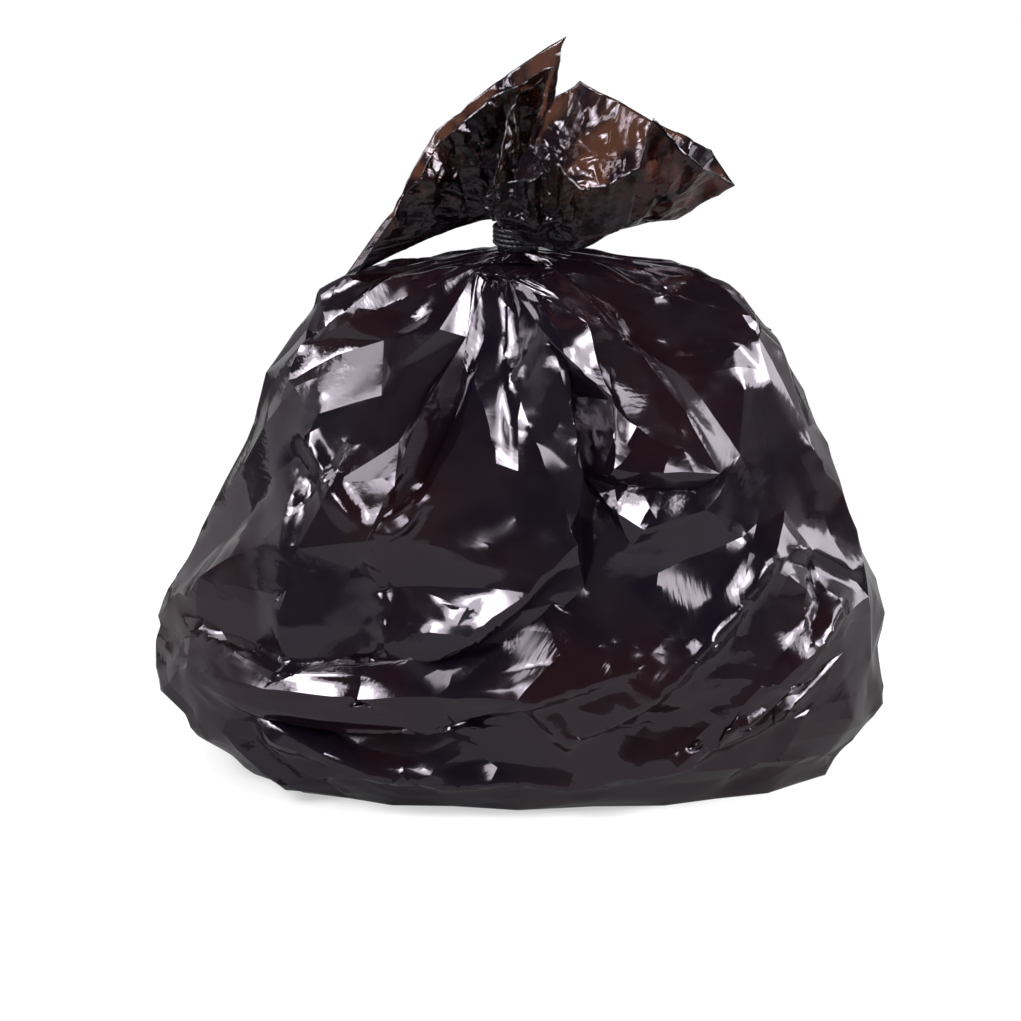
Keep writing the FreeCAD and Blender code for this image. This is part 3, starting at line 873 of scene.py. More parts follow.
@dataclass(frozen=True)
class FilmFinish:
    """Glossy black polythene film.

    Attributes:
        name: the material's name
        violet: colour of the film where it looks cold
        brown: colour of the film where it looks warm
        roughness: lowest and highest roughness
        cloud: for the change of colour, its scale, and the noise where it begins and ends
        haze: the same for the roughness
        gathered_at: the neck that clear film fans out from, or none for film before a filling
        clear_colours: colours of the light that goes through single and folded film
        fans: how many bands of folded film there are to a radian round the neck
        layered_reach: how far from the neck the film is most often folded, and where that ends
        layered_gain: how much more often it is folded there
        layered_edge: noise from where film begins to be folded to where it is
        tint: colour of reflections straight on
        gloss: strength of reflections, where 0.5 is plain plastic
        field_scale: how many fields of ripples with one direction there are in a metre
        field_border: width of the calm border between fields, as a share of a field
        wave: for its slack waves, how many in a metre, how long for their width, and their depth
        ripple: the same for its fine ripples
        gathers: how many folds to a radian fan out from the neck, and their depth, coarse and fine
    """

    name: str
    violet: tuple = (0.0022, 0.0014, 0.0036)
    brown: tuple = (0.0052, 0.0018, 0.0024)
    roughness: tuple = (0.09, 0.20)
    cloud: tuple = (7.0, 0.42, 0.6)
    haze: tuple = (38.0, 0.35, 0.75)
    gathered_at: tuple | None = None
    clear_colours: tuple = ((0.095, 0.040, 0.026), (0.012, 0.006, 0.009))
    fans: float = 4.0
    layered_reach: tuple = (0.03, 0.10)
    layered_gain: float = 0.3
    layered_edge: tuple = (0.46, 0.6)
    tint: tuple = (0.97, 0.87, 1.0)
    gloss: float = 0.7
    field_scale: float = 9.0
    field_border: float = 0.1
    wave: tuple = (60.0, 4.0, 0.0004)
    ripple: tuple = (280.0, 10.0, 0.00014)
    gathers: tuple = ((9.0, 0.0016), (30.0, 0.0004))

    def build(self) -> bpy.types.Material:
        """Makes the material.

        Returns:
            The material.
        """
        material = bpy.data.materials.new(self.name)
        material.use_nodes = True
        bench = NodeBench(material.node_tree)
        bench.tree.nodes.clear()
        place = bench.add("ShaderNodeTexCoord").outputs["Object"]
        scale, least, most = self.cloud
        cloud = bench.add("ShaderNodeTexNoise", {"Vector": place, "Scale": scale, "Detail": 3.0})
        warm = bench.ramp(cloud.outputs["Fac"], [(least, 0.0), (most, 1.0)])
        colour = bench.add(
            "ShaderNodeMix",
            {0: warm, 6: (*self.violet, 1), 7: (*self.brown, 1)},
            data_type="RGBA",
        )
        scale, least, most = self.haze
        haze = bench.add("ShaderNodeTexNoise", {"Vector": place, "Scale": scale, "Detail": 4.0})
        rough = bench.map_range(haze.outputs["Fac"], (least, most), self.roughness)
        height = self.wave_map(bench, place)
        bump = bench.add(
            "ShaderNodeBump", {"Height": height, "Strength": 1.0, "Distance": 1.0}
        )
        shader = bench.add(
            "ShaderNodeBsdfPrincipled",
            {
                "Base Color": colour.outputs[2],
                "Roughness": rough,
                "Normal": bump.outputs[0],
                "IOR": 1.51,
                "Specular IOR Level": self.gloss,
                "Specular Tint": (*self.tint, 1),
            },
        )
        if self.gathered_at:
            shader.inputs["Transmission Weight"].default_value = 1.0
            bench.tree.links.new(self.layers(bench, place), shader.inputs["Base Color"])
        out = bench.add("ShaderNodeOutputMaterial")
        bench.tree.links.new(shader.outputs[0], out.inputs[0])
        return material

    def fan(
        self, bench: NodeBench, place: bpy.types.NodeSocket, scale: float
    ) -> bpy.types.NodeSocket:
        """Draws bands that fan out from the neck, from about 0 to 1.

        Args:
            bench: the material's nodes
            place: the point on the object
            scale: how many bands there are to a radian

        Returns:
            The height of the bands.
        """
        ends = {0: place, 1: self.gathered_at}
        away = bench.add("ShaderNodeVectorMath", ends, operation="SUBTRACT").outputs[0]
        way = bench.add("ShaderNodeVectorMath", {0: away}, operation="NORMALIZE").outputs[0]
        bands = bench.add("ShaderNodeTexNoise", {"Vector": way, "Scale": scale, "Detail": 2.0})
        return bands.outputs["Fac"]

    def layers(self, bench: NodeBench, place: bpy.types.NodeSocket) -> bpy.types.NodeSocket:
        """Colours clear film by how many layers of it lie on each other.

        Args:
            bench: the material's nodes
            place: the point on the object

        Returns:
            The colour.
        """
        ends = {0: place, 1: self.gathered_at}
        away = bench.add("ShaderNodeVectorMath", ends, operation="DISTANCE").outputs["Value"]
        near = bench.map_range(away, self.layered_reach, (self.layered_gain, 0.0))
        folded = bench.math("ADD", self.fan(bench, place, self.fans), near)
        least, most = self.layered_edge
        share = bench.ramp(folded, [(least, 0.0), (most, 1.0)])
        single, double = self.clear_colours
        mixed = bench.add(
            "ShaderNodeMix", {0: share, 6: (*single, 1), 7: (*double, 1)}, data_type="RGBA"
        )
        return mixed.outputs[2]

    def wave_map(self, bench: NodeBench, place: bpy.types.NodeSocket) -> bpy.types.NodeSocket:
        """Draws what is too small for the mesh: slack waves, and fine ripples of stretched film.

        Args:
            bench: the material's nodes
            place: the point on the object

        Returns:
            Their height, in metres.
        """
        cells = {"Vector": place, "Scale": self.field_scale}
        random = bench.add("ShaderNodeTexVoronoi", cells).outputs["Color"]
        round_once = {0: random, "Scale": 2 * math.pi}
        turns = bench.add("ShaderNodeVectorMath", round_once, operation="SCALE")
        laid = bench.add(
            "ShaderNodeVectorRotate",
            {"Vector": place, "Rotation": turns.outputs[0]},
            rotation_type="EULER_XYZ",
        )
        border = bench.add("ShaderNodeTexVoronoi", cells, feature="DISTANCE_TO_EDGE").outputs[0]
        inside = bench.ramp(border, [(0.0, 0.0), (self.field_border, 1.0)])
        total = 0.0
        for scale, length, depth in (self.wave, self.ripple):
            drawn = bench.add(
                "ShaderNodeVectorMath",
                {0: laid.outputs[0], 1: (scale, scale / length, scale)},
                operation="MULTIPLY",
            )
            noise_map = bench.add(
                "ShaderNodeTexNoise", {"Vector": drawn.outputs[0], "Scale": 1.0, "Detail": 1.5}
            )
            above = bench.math("SUBTRACT", noise_map.outputs["Fac"], NOISE_MIDDLE)
            total = bench.math("MULTIPLY_ADD", above, depth, total)
        total = bench.math("MULTIPLY", total, inside)
        if self.gathered_at:
            for scale, depth in self.gathers:
                total = bench.math("MULTIPLY_ADD", self.fan(bench, place, scale), depth, total)
        return total


@dataclass
class FullSack:
    """The full body of the sack, from the floor to the foot of the neck.

    Attributes:
        neck_foot: height of the foot of the neck
        pleats: the folds below the neck
        levels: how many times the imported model's triangles are split
        fold_angles: angles from which an edge begins to be a fold, and is one
        fold_decay: share of its sharpness that a fold keeps at each split
        least_sharpness: sharpness from which a fold has two sides of shading
        most_triangles: how many triangles the piece may have, but for its two caps
        fold_level: after how many splits the pleats and the long folds are laid
        pleat_excess: how many times the usual spare film there is round the shoulders
        shoulders: share of the height from which there is more of it
        calm: shares of the height over which the creases fade in from the floor and from the neck
        hanging: shares of the height between which pressed film turns into hanging film
        spare_size: how far apart film with much and with little to spare lies, in metres
        spare_seed: a number that picks that pattern
        spare_edge: noise where there is least and most to spare
        least_spare: spare film of every patch, and what the fullest patch has on top
        spare_ways: spare film of an edge along its folds, and what one across them has on top
        long_folds: the folds that cross the front of the belly
        stages: the creases, by how many splits they come after
    """

    neck_foot: float
    pleats: Pleats
    levels: int = 4
    fold_angles: tuple = (7.0, 24.0)
    fold_decay: float = 0.96
    least_sharpness: float = 0.6
    most_triangles: int = 190_000
    fold_level: int = 3
    pleat_excess: float = 5.0
    shoulders: float = 0.72
    calm: tuple[float, float] = (0.05, 0.04)
    hanging: tuple[float, float] = (0.25, 0.5)
    spare_size: float = 0.12
    spare_seed: int = 3
    spare_edge: tuple[float, float] = (-0.15, 0.25)
    least_spare: tuple[float, float] = (0.3, 0.7)
    spare_ways: tuple[float, float] = (0.3, 1.6)
    long_folds: tuple[LongFold, ...] = (
        # level folds, low on the left
        LongFold(
            ((-0.295, 0.150), (-0.240, 0.132), (-0.190, 0.126), (-0.065, 0.124)),
            height=0.010,
            gentle=0.010,
            steep=0.030,
        ),
        LongFold(
            ((-0.280, 0.112), (-0.220, 0.098), (-0.145, 0.086), (-0.065, 0.094), (0.0, 0.112)),
            height=0.011,
        ),
        LongFold(
            ((-0.225, 0.096), (-0.190, 0.072), (-0.120, 0.046), (-0.050, 0.044)),
            height=0.012,
            gentle=0.016,
            steep=0.012,
        ),
        LongFold(
            ((-0.218, 0.080), (-0.185, 0.052), (-0.150, 0.028)),
            height=0.010,
            gentle=0.012,
            steep=0.010,
        ),
        # folds that rise from the left of the belly to its middle and to the left shoulder
        LongFold(
            ((-0.190, 0.134), (-0.120, 0.130), (-0.075, 0.142), (-0.030, 0.175), (0.040, 0.230))
        ),
        LongFold(
            ((-0.190, 0.134), (-0.192, 0.190), (-0.188, 0.245), (-0.170, 0.300)),
            height=0.006,
            gentle=0.022,
        ),
        LongFold(
            ((-0.100, 0.135), (-0.108, 0.190), (-0.118, 0.248)),
            height=0.008,
            gentle=0.016,
            steep=0.010,
        ),
        LongFold(
            ((-0.118, 0.248), (-0.150, 0.275), (-0.180, 0.330)), height=0.006, gentle=0.018
        ),
        LongFold(
            ((-0.118, 0.248), (-0.090, 0.250), (-0.075, 0.285)), height=0.007, gentle=0.016
        ),
        # folds across the middle and up the right of the belly
        LongFold(
            ((-0.040, 0.104), (0.010, 0.118), (0.060, 0.130), (0.110, 0.150)), height=0.011
        ),
        LongFold(((0.005, 0.118), (0.030, 0.090), (0.045, 0.068)), height=0.008, gentle=0.014),
        LongFold(
            ((0.030, 0.072), (0.090, 0.108), (0.140, 0.148), (0.168, 0.190)),
            height=0.012,
            gentle=0.030,
        ),
        LongFold(
            ((0.060, 0.040), (0.130, 0.055), (0.200, 0.078), (0.262, 0.120)), height=0.011
        ),
        LongFold(
            ((0.110, 0.052), (0.180, 0.090), (0.240, 0.142), (0.275, 0.190)),
            height=0.011,
            gentle=0.022,
        ),
        LongFold(((0.140, 0.135), (0.180, 0.190), (0.208, 0.228)), height=0.008, gentle=0.020),
        LongFold(((0.208, 0.228), (0.250, 0.205), (0.285, 0.180)), height=0.007, gentle=0.018),
        # a level fold at the foot of the front
        LongFold(((-0.090, 0.030), (0.0, 0.044), (0.090, 0.034)), height=0.010, gentle=0.016),
    )
    stages: dict[int, CreaseStage] = field(
        default_factory=lambda: {
            2: CreaseStage(
                size=0.090,
                steepness=0.09,
                cover=1.0,
                seed=12,
                settler=FilmSettler(excess=0.014, stiffness=0.15, reach=0.006, rounds=100),
            ),
            3: CreaseStage(
                size=0.065,
                steepness=0.14,
                cover=0.45,
                seed=22,
                settler=FilmSettler(excess=0.010, stiffness=0.2, reach=0.005, rounds=100),
            ),
            4: CreaseStage(
                size=0.024,
                steepness=0.09,
                cover=0.30,
                seed=32,
                settler=FilmSettler(excess=0.006, stiffness=0.2, reach=0.003, rounds=80),
            ),
        }
    )

    def build(self, net: FilmNet) -> bpy.types.Object:
        """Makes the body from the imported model's outer skin.

        Args:
            net: the outer skin below the neck

        Returns:
            The finished piece.
        """
        net.fold_at_angles(*self.fold_angles)
        for level in range(1, self.levels + 1):
            net = net.refined(self.fold_decay, self.most_triangles)
            stage = self.stages.get(level)
            if stage is None:
                continue
            height = net.points[:, 2] / self.neck_foot
            low, high = self.calm
            creased = smooth_step(height, 0.0, low) * smooth_step(1.0 - height, 0.0, high)
            lift = stage.lift(net, smooth_step(height, *self.hanging)) * creased
            if level == self.fold_level:
                taken = net.open_points()
                for fold in self.long_folds:
                    fold.follow(net, taken)
                lift += self.pleats.lift(net.points)
                lift += sum(fold.lift(net.points) for fold in self.long_folds)
            net.points = net.points + net.normals() * lift[:, None]
            net.points = stage.settler.settle(net, net.open_points(), self.edge_slack(net))
            net.points[:, 2] = np.maximum(net.points[:, 2], 0.0)
        faces = net.triangles.tolist()
        points = net.points
        for at_floor in (True, False):
            chosen = (points[net.edges[:, 0], 2] < self.neck_foot / 2) == at_floor
            ring = ring_in_order(net, net.open_edge & chosen)
            hub = points[ring].mean(axis=0)
            number = len(points)
            points = np.vstack([points, hub])
            faces += [[b, a, number] for a, b in zip(ring, ring[1:] + ring[:1])]
        piece = add_mesh("full_sack_film", points, faces)
        crease_sharply(piece, net, self.least_sharpness)
        piece.data.materials.append(FilmFinish("black_film").build())
        return piece

    def edge_slack(self, net: FilmNet) -> np.ndarray:
        """Says how much spare film there is along each edge.

        Hanging film has it round the sack, and film pressed to the floor has it up the sack.

        Args:
            net: the net

        Returns:
            How many times the usual excess each edge has.
        """
        a, b = net.edges.T
        middle = (net.points[a] + net.points[b]) / 2
        span = net.points[b] - net.points[a]
        span /= np.linalg.norm(span, axis=1, keepdims=True)
        across = np.stack([-middle[:, 1], middle[:, 0], np.zeros(len(a))], axis=1)
        across /= np.maximum(np.linalg.norm(across, axis=1, keepdims=True), LEAST_LENGTH)
        round_way = np.abs(np.sum(span * across, axis=1))
        near_neck = smooth_step(middle[:, 2] / self.neck_foot, self.shoulders, 1.0)
        hanging = smooth_step(middle[:, 2] / self.neck_foot, *self.hanging)
        folded = hanging * round_way**2 + (1 - hanging) * (1 - round_way**2)
        pattern = patches(middle, self.spare_size, self.spare_seed)
        least, more = self.least_spare
        patchy = least + more * smooth_step(pattern, *self.spare_edge)
        along, over = self.spare_ways
        return patchy * (along + over * folded) + self.pleat_excess * near_neck * round_way**2


@dataclass
class SlackMouth:
    """The tied neck's film and the open mouth above it.

    Attributes:
        neck_top: height of the top of the neck
        pleats: the folds above the neck
        levels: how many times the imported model's triangles are split
        fold_level: after how many splits the pleats are laid
        held_film: how far above the neck the tie still holds the film
        freed_film: height over which the film above the neck gets free of the tie
        upright: share of its creases that run upright
        fold_angles: angles from which an edge begins to be a fold, and is one
        fold_decay: share of its sharpness that a fold keeps at each split
        least_sharpness: sharpness from which a fold has two sides of shading
        most_triangles: how many triangles one side of the film may have
        thickness: thickness of the shown film
        stages: the creases, by how many splits they come after
    """

    neck_top: float
    pleats: Pleats
    levels: int = 4
    fold_level: int = 3
    held_film: float = 0.001
    freed_film: float = 0.02
    upright: float = 0.7
    fold_angles: tuple[float, float] = (20.0, 50.0)
    fold_decay: float = 0.85
    least_sharpness: float = 0.6
    most_triangles: int = 90_000
    thickness: float = 0.0004
    stages: dict[int, CreaseStage] = field(
        default_factory=lambda: {
            2: CreaseStage(
                size=0.050,
                steepness=0.16,
                cover=1.0,
                seed=42,
                settler=FilmSettler(excess=0.04, stiffness=0.08, reach=0.008, rounds=120),
            ),
            3: CreaseStage(
                size=0.028,
                steepness=0.16,
                cover=0.9,
                seed=52,
                settler=FilmSettler(
                    excess=0.03, stiffness=0.06, reach=0.005, rounds=120, crease=0.012
                ),
            ),
            4: CreaseStage(
                size=0.014,
                steepness=0.12,
                cover=0.7,
                seed=62,
                settler=FilmSettler(
                    excess=0.02, stiffness=0.05, reach=0.003, rounds=80, crease=0.01
                ),
            ),
        }
    )

    def build(self, net: FilmNet) -> bpy.types.Object:
        """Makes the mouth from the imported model's outer skin.

        Args:
            net: the outer skin above the foot of the neck

        Returns:
            The finished piece.
        """
        net.fold_at_angles(*self.fold_angles)
        for level in range(1, self.levels + 1):
            net = net.refined(self.fold_decay, self.most_triangles)
            stage = self.stages.get(level)
            if stage is None:
                continue
            fixed = net.points[:, 2] < self.neck_top + self.held_film
            free = smooth_step(
                net.points[:, 2], self.neck_top, self.neck_top + self.freed_film
            )
            lift = stage.lift(net, np.full(len(free), self.upright)) * free
            if level == self.fold_level:
                lift += self.pleats.lift(net.points) * free
            net.points = net.points + net.normals() * lift[:, None]
            net.points = stage.settler.settle(net, fixed, np.ones(len(net.edges)))
        piece = add_mesh("slack_mouth_film", net.points, net.triangles.tolist())
        crease_sharply(piece, net, self.least_sharpness)
        wall = piece.modifiers.new("film_thickness", "SOLIDIFY")
        wall.thickness = self.thickness
        wall.offset = -1
        finish = FilmFinish("clear_black_film", gathered_at=self.pleats.centre)
        piece.data.materials.append(finish.build())
        return piece


@dataclass(frozen=True)
class CordFinish:
    """Black plastic cord.

    Attributes:
        colour: its colour
        roughness: its roughness
        fibre_scale: how many fibres there are in a metre
        fibre_depth: depth of the grooves between them, in metres
    """

    colour: tuple[float, float, float] = (0.004, 0.0035, 0.005)
    roughness: float = 0.45
    fibre_scale: float = 900.0
    fibre_depth: float = 0.0002

    def build(self) -> bpy.types.Material:
        """Makes the material.

        Returns:
            The material.
        """
        material = bpy.data.materials.new("black_cord")
        material.use_nodes = True
        bench = NodeBench(material.node_tree)
        shader = bench.tree.nodes["Principled BSDF"]
        shader.inputs["Base Color"].default_value = (*self.colour, 1)
        shader.inputs["Roughness"].default_value = self.roughness
        place = bench.add("ShaderNodeTexCoord").outputs["Object"]
        drawn = {"Vector": place, "Scale": self.fibre_scale, "Detail": 2.0}
        fibres = bench.add("ShaderNodeTexNoise", drawn).outputs["Fac"]
        bump = bench.add(
            "ShaderNodeBump", {"Height": fibres, "Strength": 0.6, "Distance": self.fibre_depth}
        )
        bench.tree.links.new(bump.outputs[0], shader.inputs["Normal"])
        return material


@dataclass
class NeckTie:
    """The cord wound round the neck, three strands laid in a twist.

    Attributes:
        cord: thickness of the cord
        turns: turns round the neck
        lay: length of cord in which the strands go once round each other
        strand_depth: how deep the groove between strands is, as a share of the cord's radius
        strands: how many strands there are
        steps: points of the mesh along the cord
        sides: points of the mesh round it
    """

    cord: float = 0.0038
    turns: float = 4.0
    lay: float = 0.012
    strand_depth: float = 0.2
    strands: int = 3
    steps: int = 420
    sides: int = 18

    def build(self) -> bpy.types.Object:
        """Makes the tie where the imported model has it.

        Returns:
            The finished piece.
        """
        low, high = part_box(TIE_NODE)
        reach = min(high.x - low.x, high.y - low.y) / 2 - self.cord / 2
        centre = Vector(((low.x + high.x) / 2, (low.y + high.y) / 2, low.z + self.cord / 2))
        rise = high.z - low.z - self.cord
        tree = bpy.data.node_groups.new("wound_cord", "GeometryNodeTree")
        sockets = {}
        for name, kind in (
            ("Radius", "NodeSocketFloat"),
            ("Rise", "NodeSocketFloat"),
            ("Cord", "NodeSocketFloat"),
            ("Turns", "NodeSocketFloat"),
            ("Twist", "NodeSocketFloat"),
            ("Centre", "NodeSocketVector"),
            ("Finish", "NodeSocketMaterial"),
        ):
            item = tree.interface.new_socket(name, in_out="INPUT", socket_type=kind)
            sockets[name] = item.identifier
        tree.interface.new_socket("Geometry", in_out="OUTPUT", socket_type="NodeSocketGeometry")
        bench = NodeBench(tree)
        given = bench.add("NodeGroupInput").outputs
        spiral = bench.add(
            "GeometryNodeCurveSpiral",
            {
                "Resolution": round(self.steps / self.turns),
                "Rotations": given["Turns"],
                "Start Radius": given["Radius"],
                "End Radius": given["Radius"],
                "Height": given["Rise"],
            },
        )
        along = bench.add("GeometryNodeSplineParameter").outputs["Factor"]
        tilt = bench.math("MULTIPLY", along, given["Twist"])
        twisted = bench.add("GeometryNodeSetCurveTilt", {"Curve": spiral.outputs[0], "Tilt": tilt})
        ring = bench.add(
            "GeometryNodeCurvePrimitiveCircle",
            {"Resolution": self.sides, "Radius": bench.math("MULTIPLY", given["Cord"], 0.5)},
        )
        number = bench.add("GeometryNodeInputIndex").outputs[0]
        turn = bench.math("MULTIPLY", number, 2 * math.pi * self.strands / self.sides)
        lobe = bench.math("ADD", bench.math("COSINE", turn), -1.0)
        grow = bench.math("MULTIPLY_ADD", lobe, self.strand_depth / 2, 1.0)
        place = bench.add("GeometryNodeInputPosition").outputs[0]
        scaled = bench.add("ShaderNodeVectorMath", {0: place, "Scale": grow}, operation="SCALE")
        section = bench.add(
            "GeometryNodeSetPosition", {"Geometry": ring.outputs[0], "Position": scaled.outputs[0]}
        )
        tube = bench.add(
            "GeometryNodeCurveToMesh",
            {"Curve": twisted.outputs[0], "Profile Curve": section.outputs[0], "Fill Caps": True},
        )
        moved = bench.add(
            "GeometryNodeTransform", {"Geometry": tube.outputs[0], "Translation": given["Centre"]}
        )
        real = bench.add("GeometryNodeRealizeInstances", {0: moved.outputs[0]})
        dressed = bench.add(
            "GeometryNodeSetMaterial", {"Geometry": real.outputs[0], "Material": given["Finish"]}
        )
        out = bench.add("NodeGroupOutput")
        tree.links.new(dressed.outputs[0], out.inputs[0])
        carrier = add_mesh("tie_carrier", np.zeros((1, 3)), [])
        wound = carrier.modifiers.new("wound_cord", "NODES")
        wound.node_group = tree
        length = 2 * math.pi * reach * self.turns
        values = {
            "Radius": reach,
            "Rise": rise,
            "Cord": self.cord,
            "Turns": self.turns,
            "Twist": 2 * math.pi * length / self.lay,
            "Centre": centre,
            "Finish": CordFinish().build(),
        }
        for name, value in values.items():
            wound[sockets[name]] = value
        bpy.context.view_layer.update()
        shown = carrier.evaluated_get(bpy.context.evaluated_depsgraph_get())
        data = bpy.data.meshes.new_from_object(shown)
        data.name = "wound_tie"
        piece = bpy.data.objects.new("wound_tie", data)
        bpy.context.scene.collection.objects.link(piece)
        bpy.data.objects.remove(carrier)
        data.polygons.foreach_set("use_smooth", [True] * len(data.polygons))
        return piece


@dataclass(frozen=True)
class Softbox:
    """A lamp with a flat rectangle of light, which points at the sack.

    Attributes:
        name: its name
        place: its middle
        size: its width and height
        power: its power in watts
        mirrored: whether the film mirrors it
    """

    name: str
    place: tuple[float, float, float]
    size: tuple[float, float]
    power: float
    mirrored: bool = True

    def build(self, target: Vector) -> None:
        """Adds the lamp.

        Args:
            target: the place that it points at
        """
        lamp = bpy.data.lights.new(self.name, "AREA")
        lamp.shape = "RECTANGLE"
        lamp.size, lamp.size_y = self.size
        lamp.energy = self.power
        holder = bpy.data.objects.new(self.name, lamp)
        holder.location = self.place
        towards = target - Vector(self.place)
        holder.rotation_euler = towards.to_track_quat("-Z", "Y").to_euler()
        holder.visible_camera = False
        holder.visible_glossy = self.mirrored
        bpy.context.scene.collection.objects.link(holder)


@dataclass
class Studio:
    """The pale floor, the lamps, the surroundings and the camera.

    Attributes:
        image_size: width and height of the photograph
        focal: focal length in pixels of that frame
        sensor_width: width of the camera's sensor in millimetres
        distance: from the camera to the point it turns round
        elevation: of the camera over the horizon, in degrees
        target: the point that the camera turns round
        target_pixel: where that point lies in the photograph
        floor_reach: from the middle of the floor to its edges
        floor_gap: height of the floor
        floor_grey: colour of the floor where it is lit
        floor_in_film_painted_shade: how bright the film mirrors the floor, by distance as a share of
            its reach; painted shade, darker near the sack and dim far off
        shadow_reach: from the middle of the floor, where its shadows begin to fade and are gone
        shadow: how much of the floor's shadows shows
        shadow_lost: share of the shadows that the film doesn't mirror
        white_from: direction along Y at which the dim front ends and the white walls are in full
        white_to: direction along Z at which the white walls begin to end and have ended
        white: how bright the film mirrors the walls
        haze_height: direction along Z over which the room gets darker
        haze: how bright the film mirrors the room, low and high
        lamps: the softboxes
    """

    image_size: float = 1021.0
    focal: float = 2771.0
    sensor_width: float = 36.0
    distance: float = 2.3
    elevation: float = 17.0
    target: tuple[float, float, float] = (0.0, 0.0, 0.3)
    target_pixel: tuple[float, float] = (520.0, 425.3)
    floor_reach: float = 7.0
    floor_gap: float = -0.0002
    floor_grey: float = 0.93
    # painted shade: the film mirrors the floor dark near the sack and dim far off
    floor_in_film_painted_shade: tuple = ((0.05, 0.12), (0.12, 0.42), (0.22, 0.40), (0.33, 0.10))
    shadow_reach: tuple[float, float] = (0.35, 1.1)
    shadow: float = 0.5
    shadow_lost: float = 0.7
    white_from: tuple[float, float] = (-0.55, 0.0)
    white_to: tuple[float, float] = (0.45, 0.8)
    white: float = 0.6
    haze_height: tuple[float, float] = (0.0, 0.5)
    haze: tuple[float, float] = (0.16, 0.04)
    lamps: tuple[Softbox, ...] = (
        Softbox("left_softbox", (-1.5, -1.35, 1.75), (1.8, 1.2), 55.0),
        Softbox("left_core", (-1.35, -1.2, 1.6), (0.8, 0.6), 26.0),
        Softbox("right_softbox", (1.6, -1.15, 1.5), (1.6, 1.2), 50.0),
        Softbox("right_core", (1.45, -1.05, 1.4), (0.7, 0.6), 22.0),
        Softbox("side_softbox", (2.0, 0.25, 0.75), (0.6, 1.1), 13.0),
        Softbox("top_softbox", (-1.1, -0.35, 2.1), (1.0, 0.7), 12.0),
        Softbox("ceiling", (0.0, 0.0, 3.2), (3.0, 3.0), 75.0, mirrored=False),
    )

    def build(self) -> None:
        """Makes the whole studio."""
        self.lay_floor()
        self.light_world()
        self.place_camera()
        for lamp in self.lamps:
            lamp.build(Vector(self.target))
        bpy.context.scene.view_settings.view_transform = "Standard"

    def lay_floor(self) -> None:
        """Makes the pale floor, which looks white and keeps the sack's shadow, and which the film
        mirrors with painted shade near the sack.
        """
        reach = self.floor_reach
        sides = ((-1, -1), (1, -1), (1, 1), (-1, 1))
        corners = np.array([(x * reach, y * reach, self.floor_gap) for x, y in sides])
        floor = add_mesh("studio_floor", corners, [[0, 1, 2, 3]], False)
        material = bpy.data.materials.new("floor_white")
        material.use_nodes = True
        bench = NodeBench(material.node_tree)
        bench.tree.nodes.clear()
        place = bench.add("ShaderNodeTexCoord").outputs["Object"]
        away = bench.add("ShaderNodeVectorMath", {0: place}, operation="LENGTH").outputs["Value"]
        rays = bench.add("ShaderNodeLightPath").outputs
        seen = bench.math("MAXIMUM", self.seen_through(bench, rays), rays["Is Glossy Ray"])
        # a ray through rough clear film counts as glossy too, so it is told apart here
        mirrored = bench.math("GREATER_THAN", rays["Is Glossy Ray"], rays["Is Transmission Ray"])
        # painted shade on the floor that the film mirrors, darker near the sack and far off
        painted_floor_light = bench.ramp(bench.math("DIVIDE", away, self.floor_reach), self.floor_in_film_painted_shade)
        dim = bench.math("MULTIPLY", bench.math("SUBTRACT", 1.0, painted_floor_light), mirrored)
        strength = bench.math("SUBTRACT", 1.0, dim)
        plain = bench.add("ShaderNodeEmission", {"Color": WHITE, "Strength": strength}).outputs[0]
        near = bench.map_range(away, self.shadow_reach, (self.shadow, 0.0))
        kept = bench.math("MULTIPLY_ADD", mirrored, -self.shadow_lost, 1.0)
        share = bench.math("MULTIPLY", near, kept)
        grey = (self.floor_grey, self.floor_grey, self.floor_grey, 1)
        lit = bench.add("ShaderNodeBsdfDiffuse", {"Color": grey}).outputs[0]
        shaded = bench.add("ShaderNodeMixShader", {0: share, 1: plain, 2: lit}).outputs[0]
        mixed = bench.add("ShaderNodeMixShader", {0: seen, 1: lit, 2: shaded}).outputs[0]
        out = bench.add("ShaderNodeOutputMaterial")
        bench.tree.links.new(mixed, out.inputs[0])
        floor.data.materials.append(material)

    @staticmethod
    def seen_through(
        bench: NodeBench, rays: bpy.types.bpy_prop_collection
    ) -> bpy.types.NodeSocket:
        """Returns 1 for what the camera sees, also through clear film, and 0 otherwise."""
        return bench.math("MAXIMUM", rays["Is Camera Ray"], rays["Is Transmission Ray"])

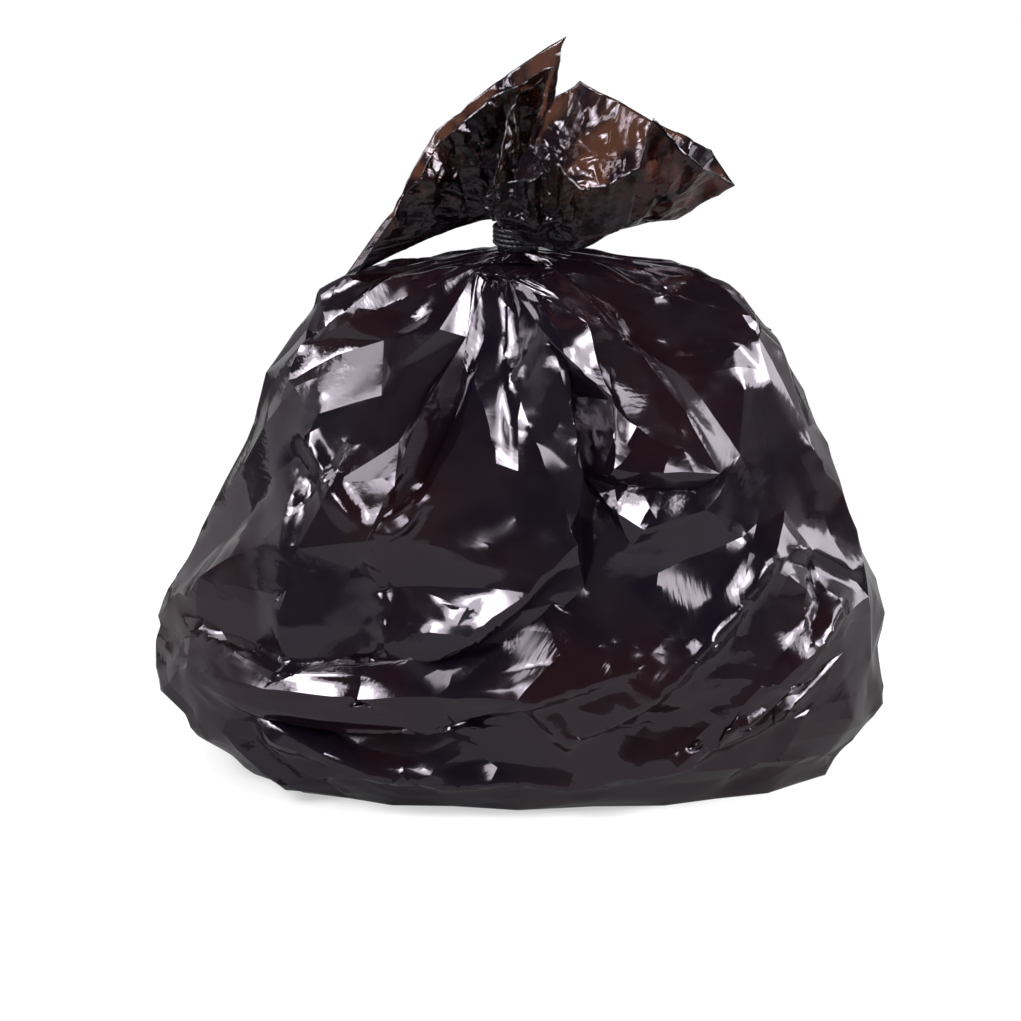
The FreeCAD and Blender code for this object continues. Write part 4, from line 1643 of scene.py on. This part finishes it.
    def light_world(self) -> None:
        """Surrounds the sack with white walls behind and beside it and a dim room in front."""
        world = bpy.data.worlds.new("studio")
        bpy.context.scene.world = world
        world.use_nodes = True
        bench = NodeBench(world.node_tree)
        bench.tree.nodes.clear()
        direction = bench.add("ShaderNodeTexCoord").outputs["Generated"]
        parts = bench.add("ShaderNodeSeparateXYZ", {0: direction}).outputs
        behind = bench.map_range(parts["Y"], self.white_from, (0.0, 1.0))
        low = bench.map_range(parts["Z"], self.white_to, (1.0, 0.0))
        white = bench.math("MULTIPLY", behind, low)
        haze = bench.map_range(parts["Z"], self.haze_height, self.haze)
        strength = bench.math("MULTIPLY_ADD", white, self.white, haze)
        room = bench.add("ShaderNodeBackground", {"Color": WHITE, "Strength": strength}).outputs[0]
        backdrop = bench.add("ShaderNodeBackground", {"Color": WHITE, "Strength": 1.0}).outputs[0]
        seen = self.seen_through(bench, bench.add("ShaderNodeLightPath").outputs)
        mixed = bench.add("ShaderNodeMixShader", {0: seen, 1: room, 2: backdrop}).outputs[0]
        out = bench.add("ShaderNodeOutputWorld")
        bench.tree.links.new(mixed, out.inputs[0])

    def place_camera(self) -> None:
        """Looks at the sack as the photograph does."""
        up_angle = math.radians(self.elevation)
        back = Vector((0, -math.cos(up_angle), math.sin(up_angle)))
        up = Vector((0, math.sin(up_angle), math.cos(up_angle)))
        metres = self.distance / self.focal
        middle = self.image_size / 2
        aim = Vector(self.target)
        aim.x -= (self.target_pixel[0] - middle) * metres
        aim -= up * ((middle - self.target_pixel[1]) * metres)
        lens = bpy.data.cameras.new("camera")
        lens.sensor_width = self.sensor_width
        lens.lens = self.focal / self.image_size * self.sensor_width
        camera = bpy.data.objects.new("camera", lens)
        camera.location = Vector(self.target) + back * self.distance
        camera.rotation_euler = (aim - camera.location).to_track_quat("-Z", "Y").to_euler()
        bpy.context.scene.collection.objects.link(camera)
        bpy.context.scene.camera = camera


def main() -> None:
    """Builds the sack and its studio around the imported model."""
    logging.basicConfig(level=logging.INFO, format="%(message)s")
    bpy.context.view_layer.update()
    tie_low, tie_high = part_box(TIE_NODE)
    neck_foot, neck_top = tie_low.z - BARE_NECK, tie_high.z + BARE_NECK
    nets = read_outer_skin(PACKED_WALL, neck_foot)
    middle = ((tie_low.x + tie_high.x) / 2, (tie_low.y + tie_high.y) / 2)
    reach = (tie_high.x - tie_low.x) / 2
    below = Pleats((*middle, neck_foot), reach)
    above = Pleats(
        (*middle, neck_top),
        reach,
        count=40,
        shortest=0.05,
        longest=0.17,
        spread=0.06,
        steepness=0.5,
        lean=0.2,
        seed=8,
    )
    pieces = [
        (FullSack(neck_foot, below).build(nets[Stretch.FULL]), SACK_NODE, "sack_film"),
        (SlackMouth(neck_top, above).build(nets[Stretch.SLACK]), SACK_NODE, "sack_film"),
        (NeckTie().build(), TIE_NODE, "tie_cord"),
    ]
    for piece, node, slot in pieces:
        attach(piece, BODY)
        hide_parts(node)
        log.info("%s: %d faces", piece.name, len(piece.data.polygons))
    Studio().build()


if __name__ == "__main__":
    main()
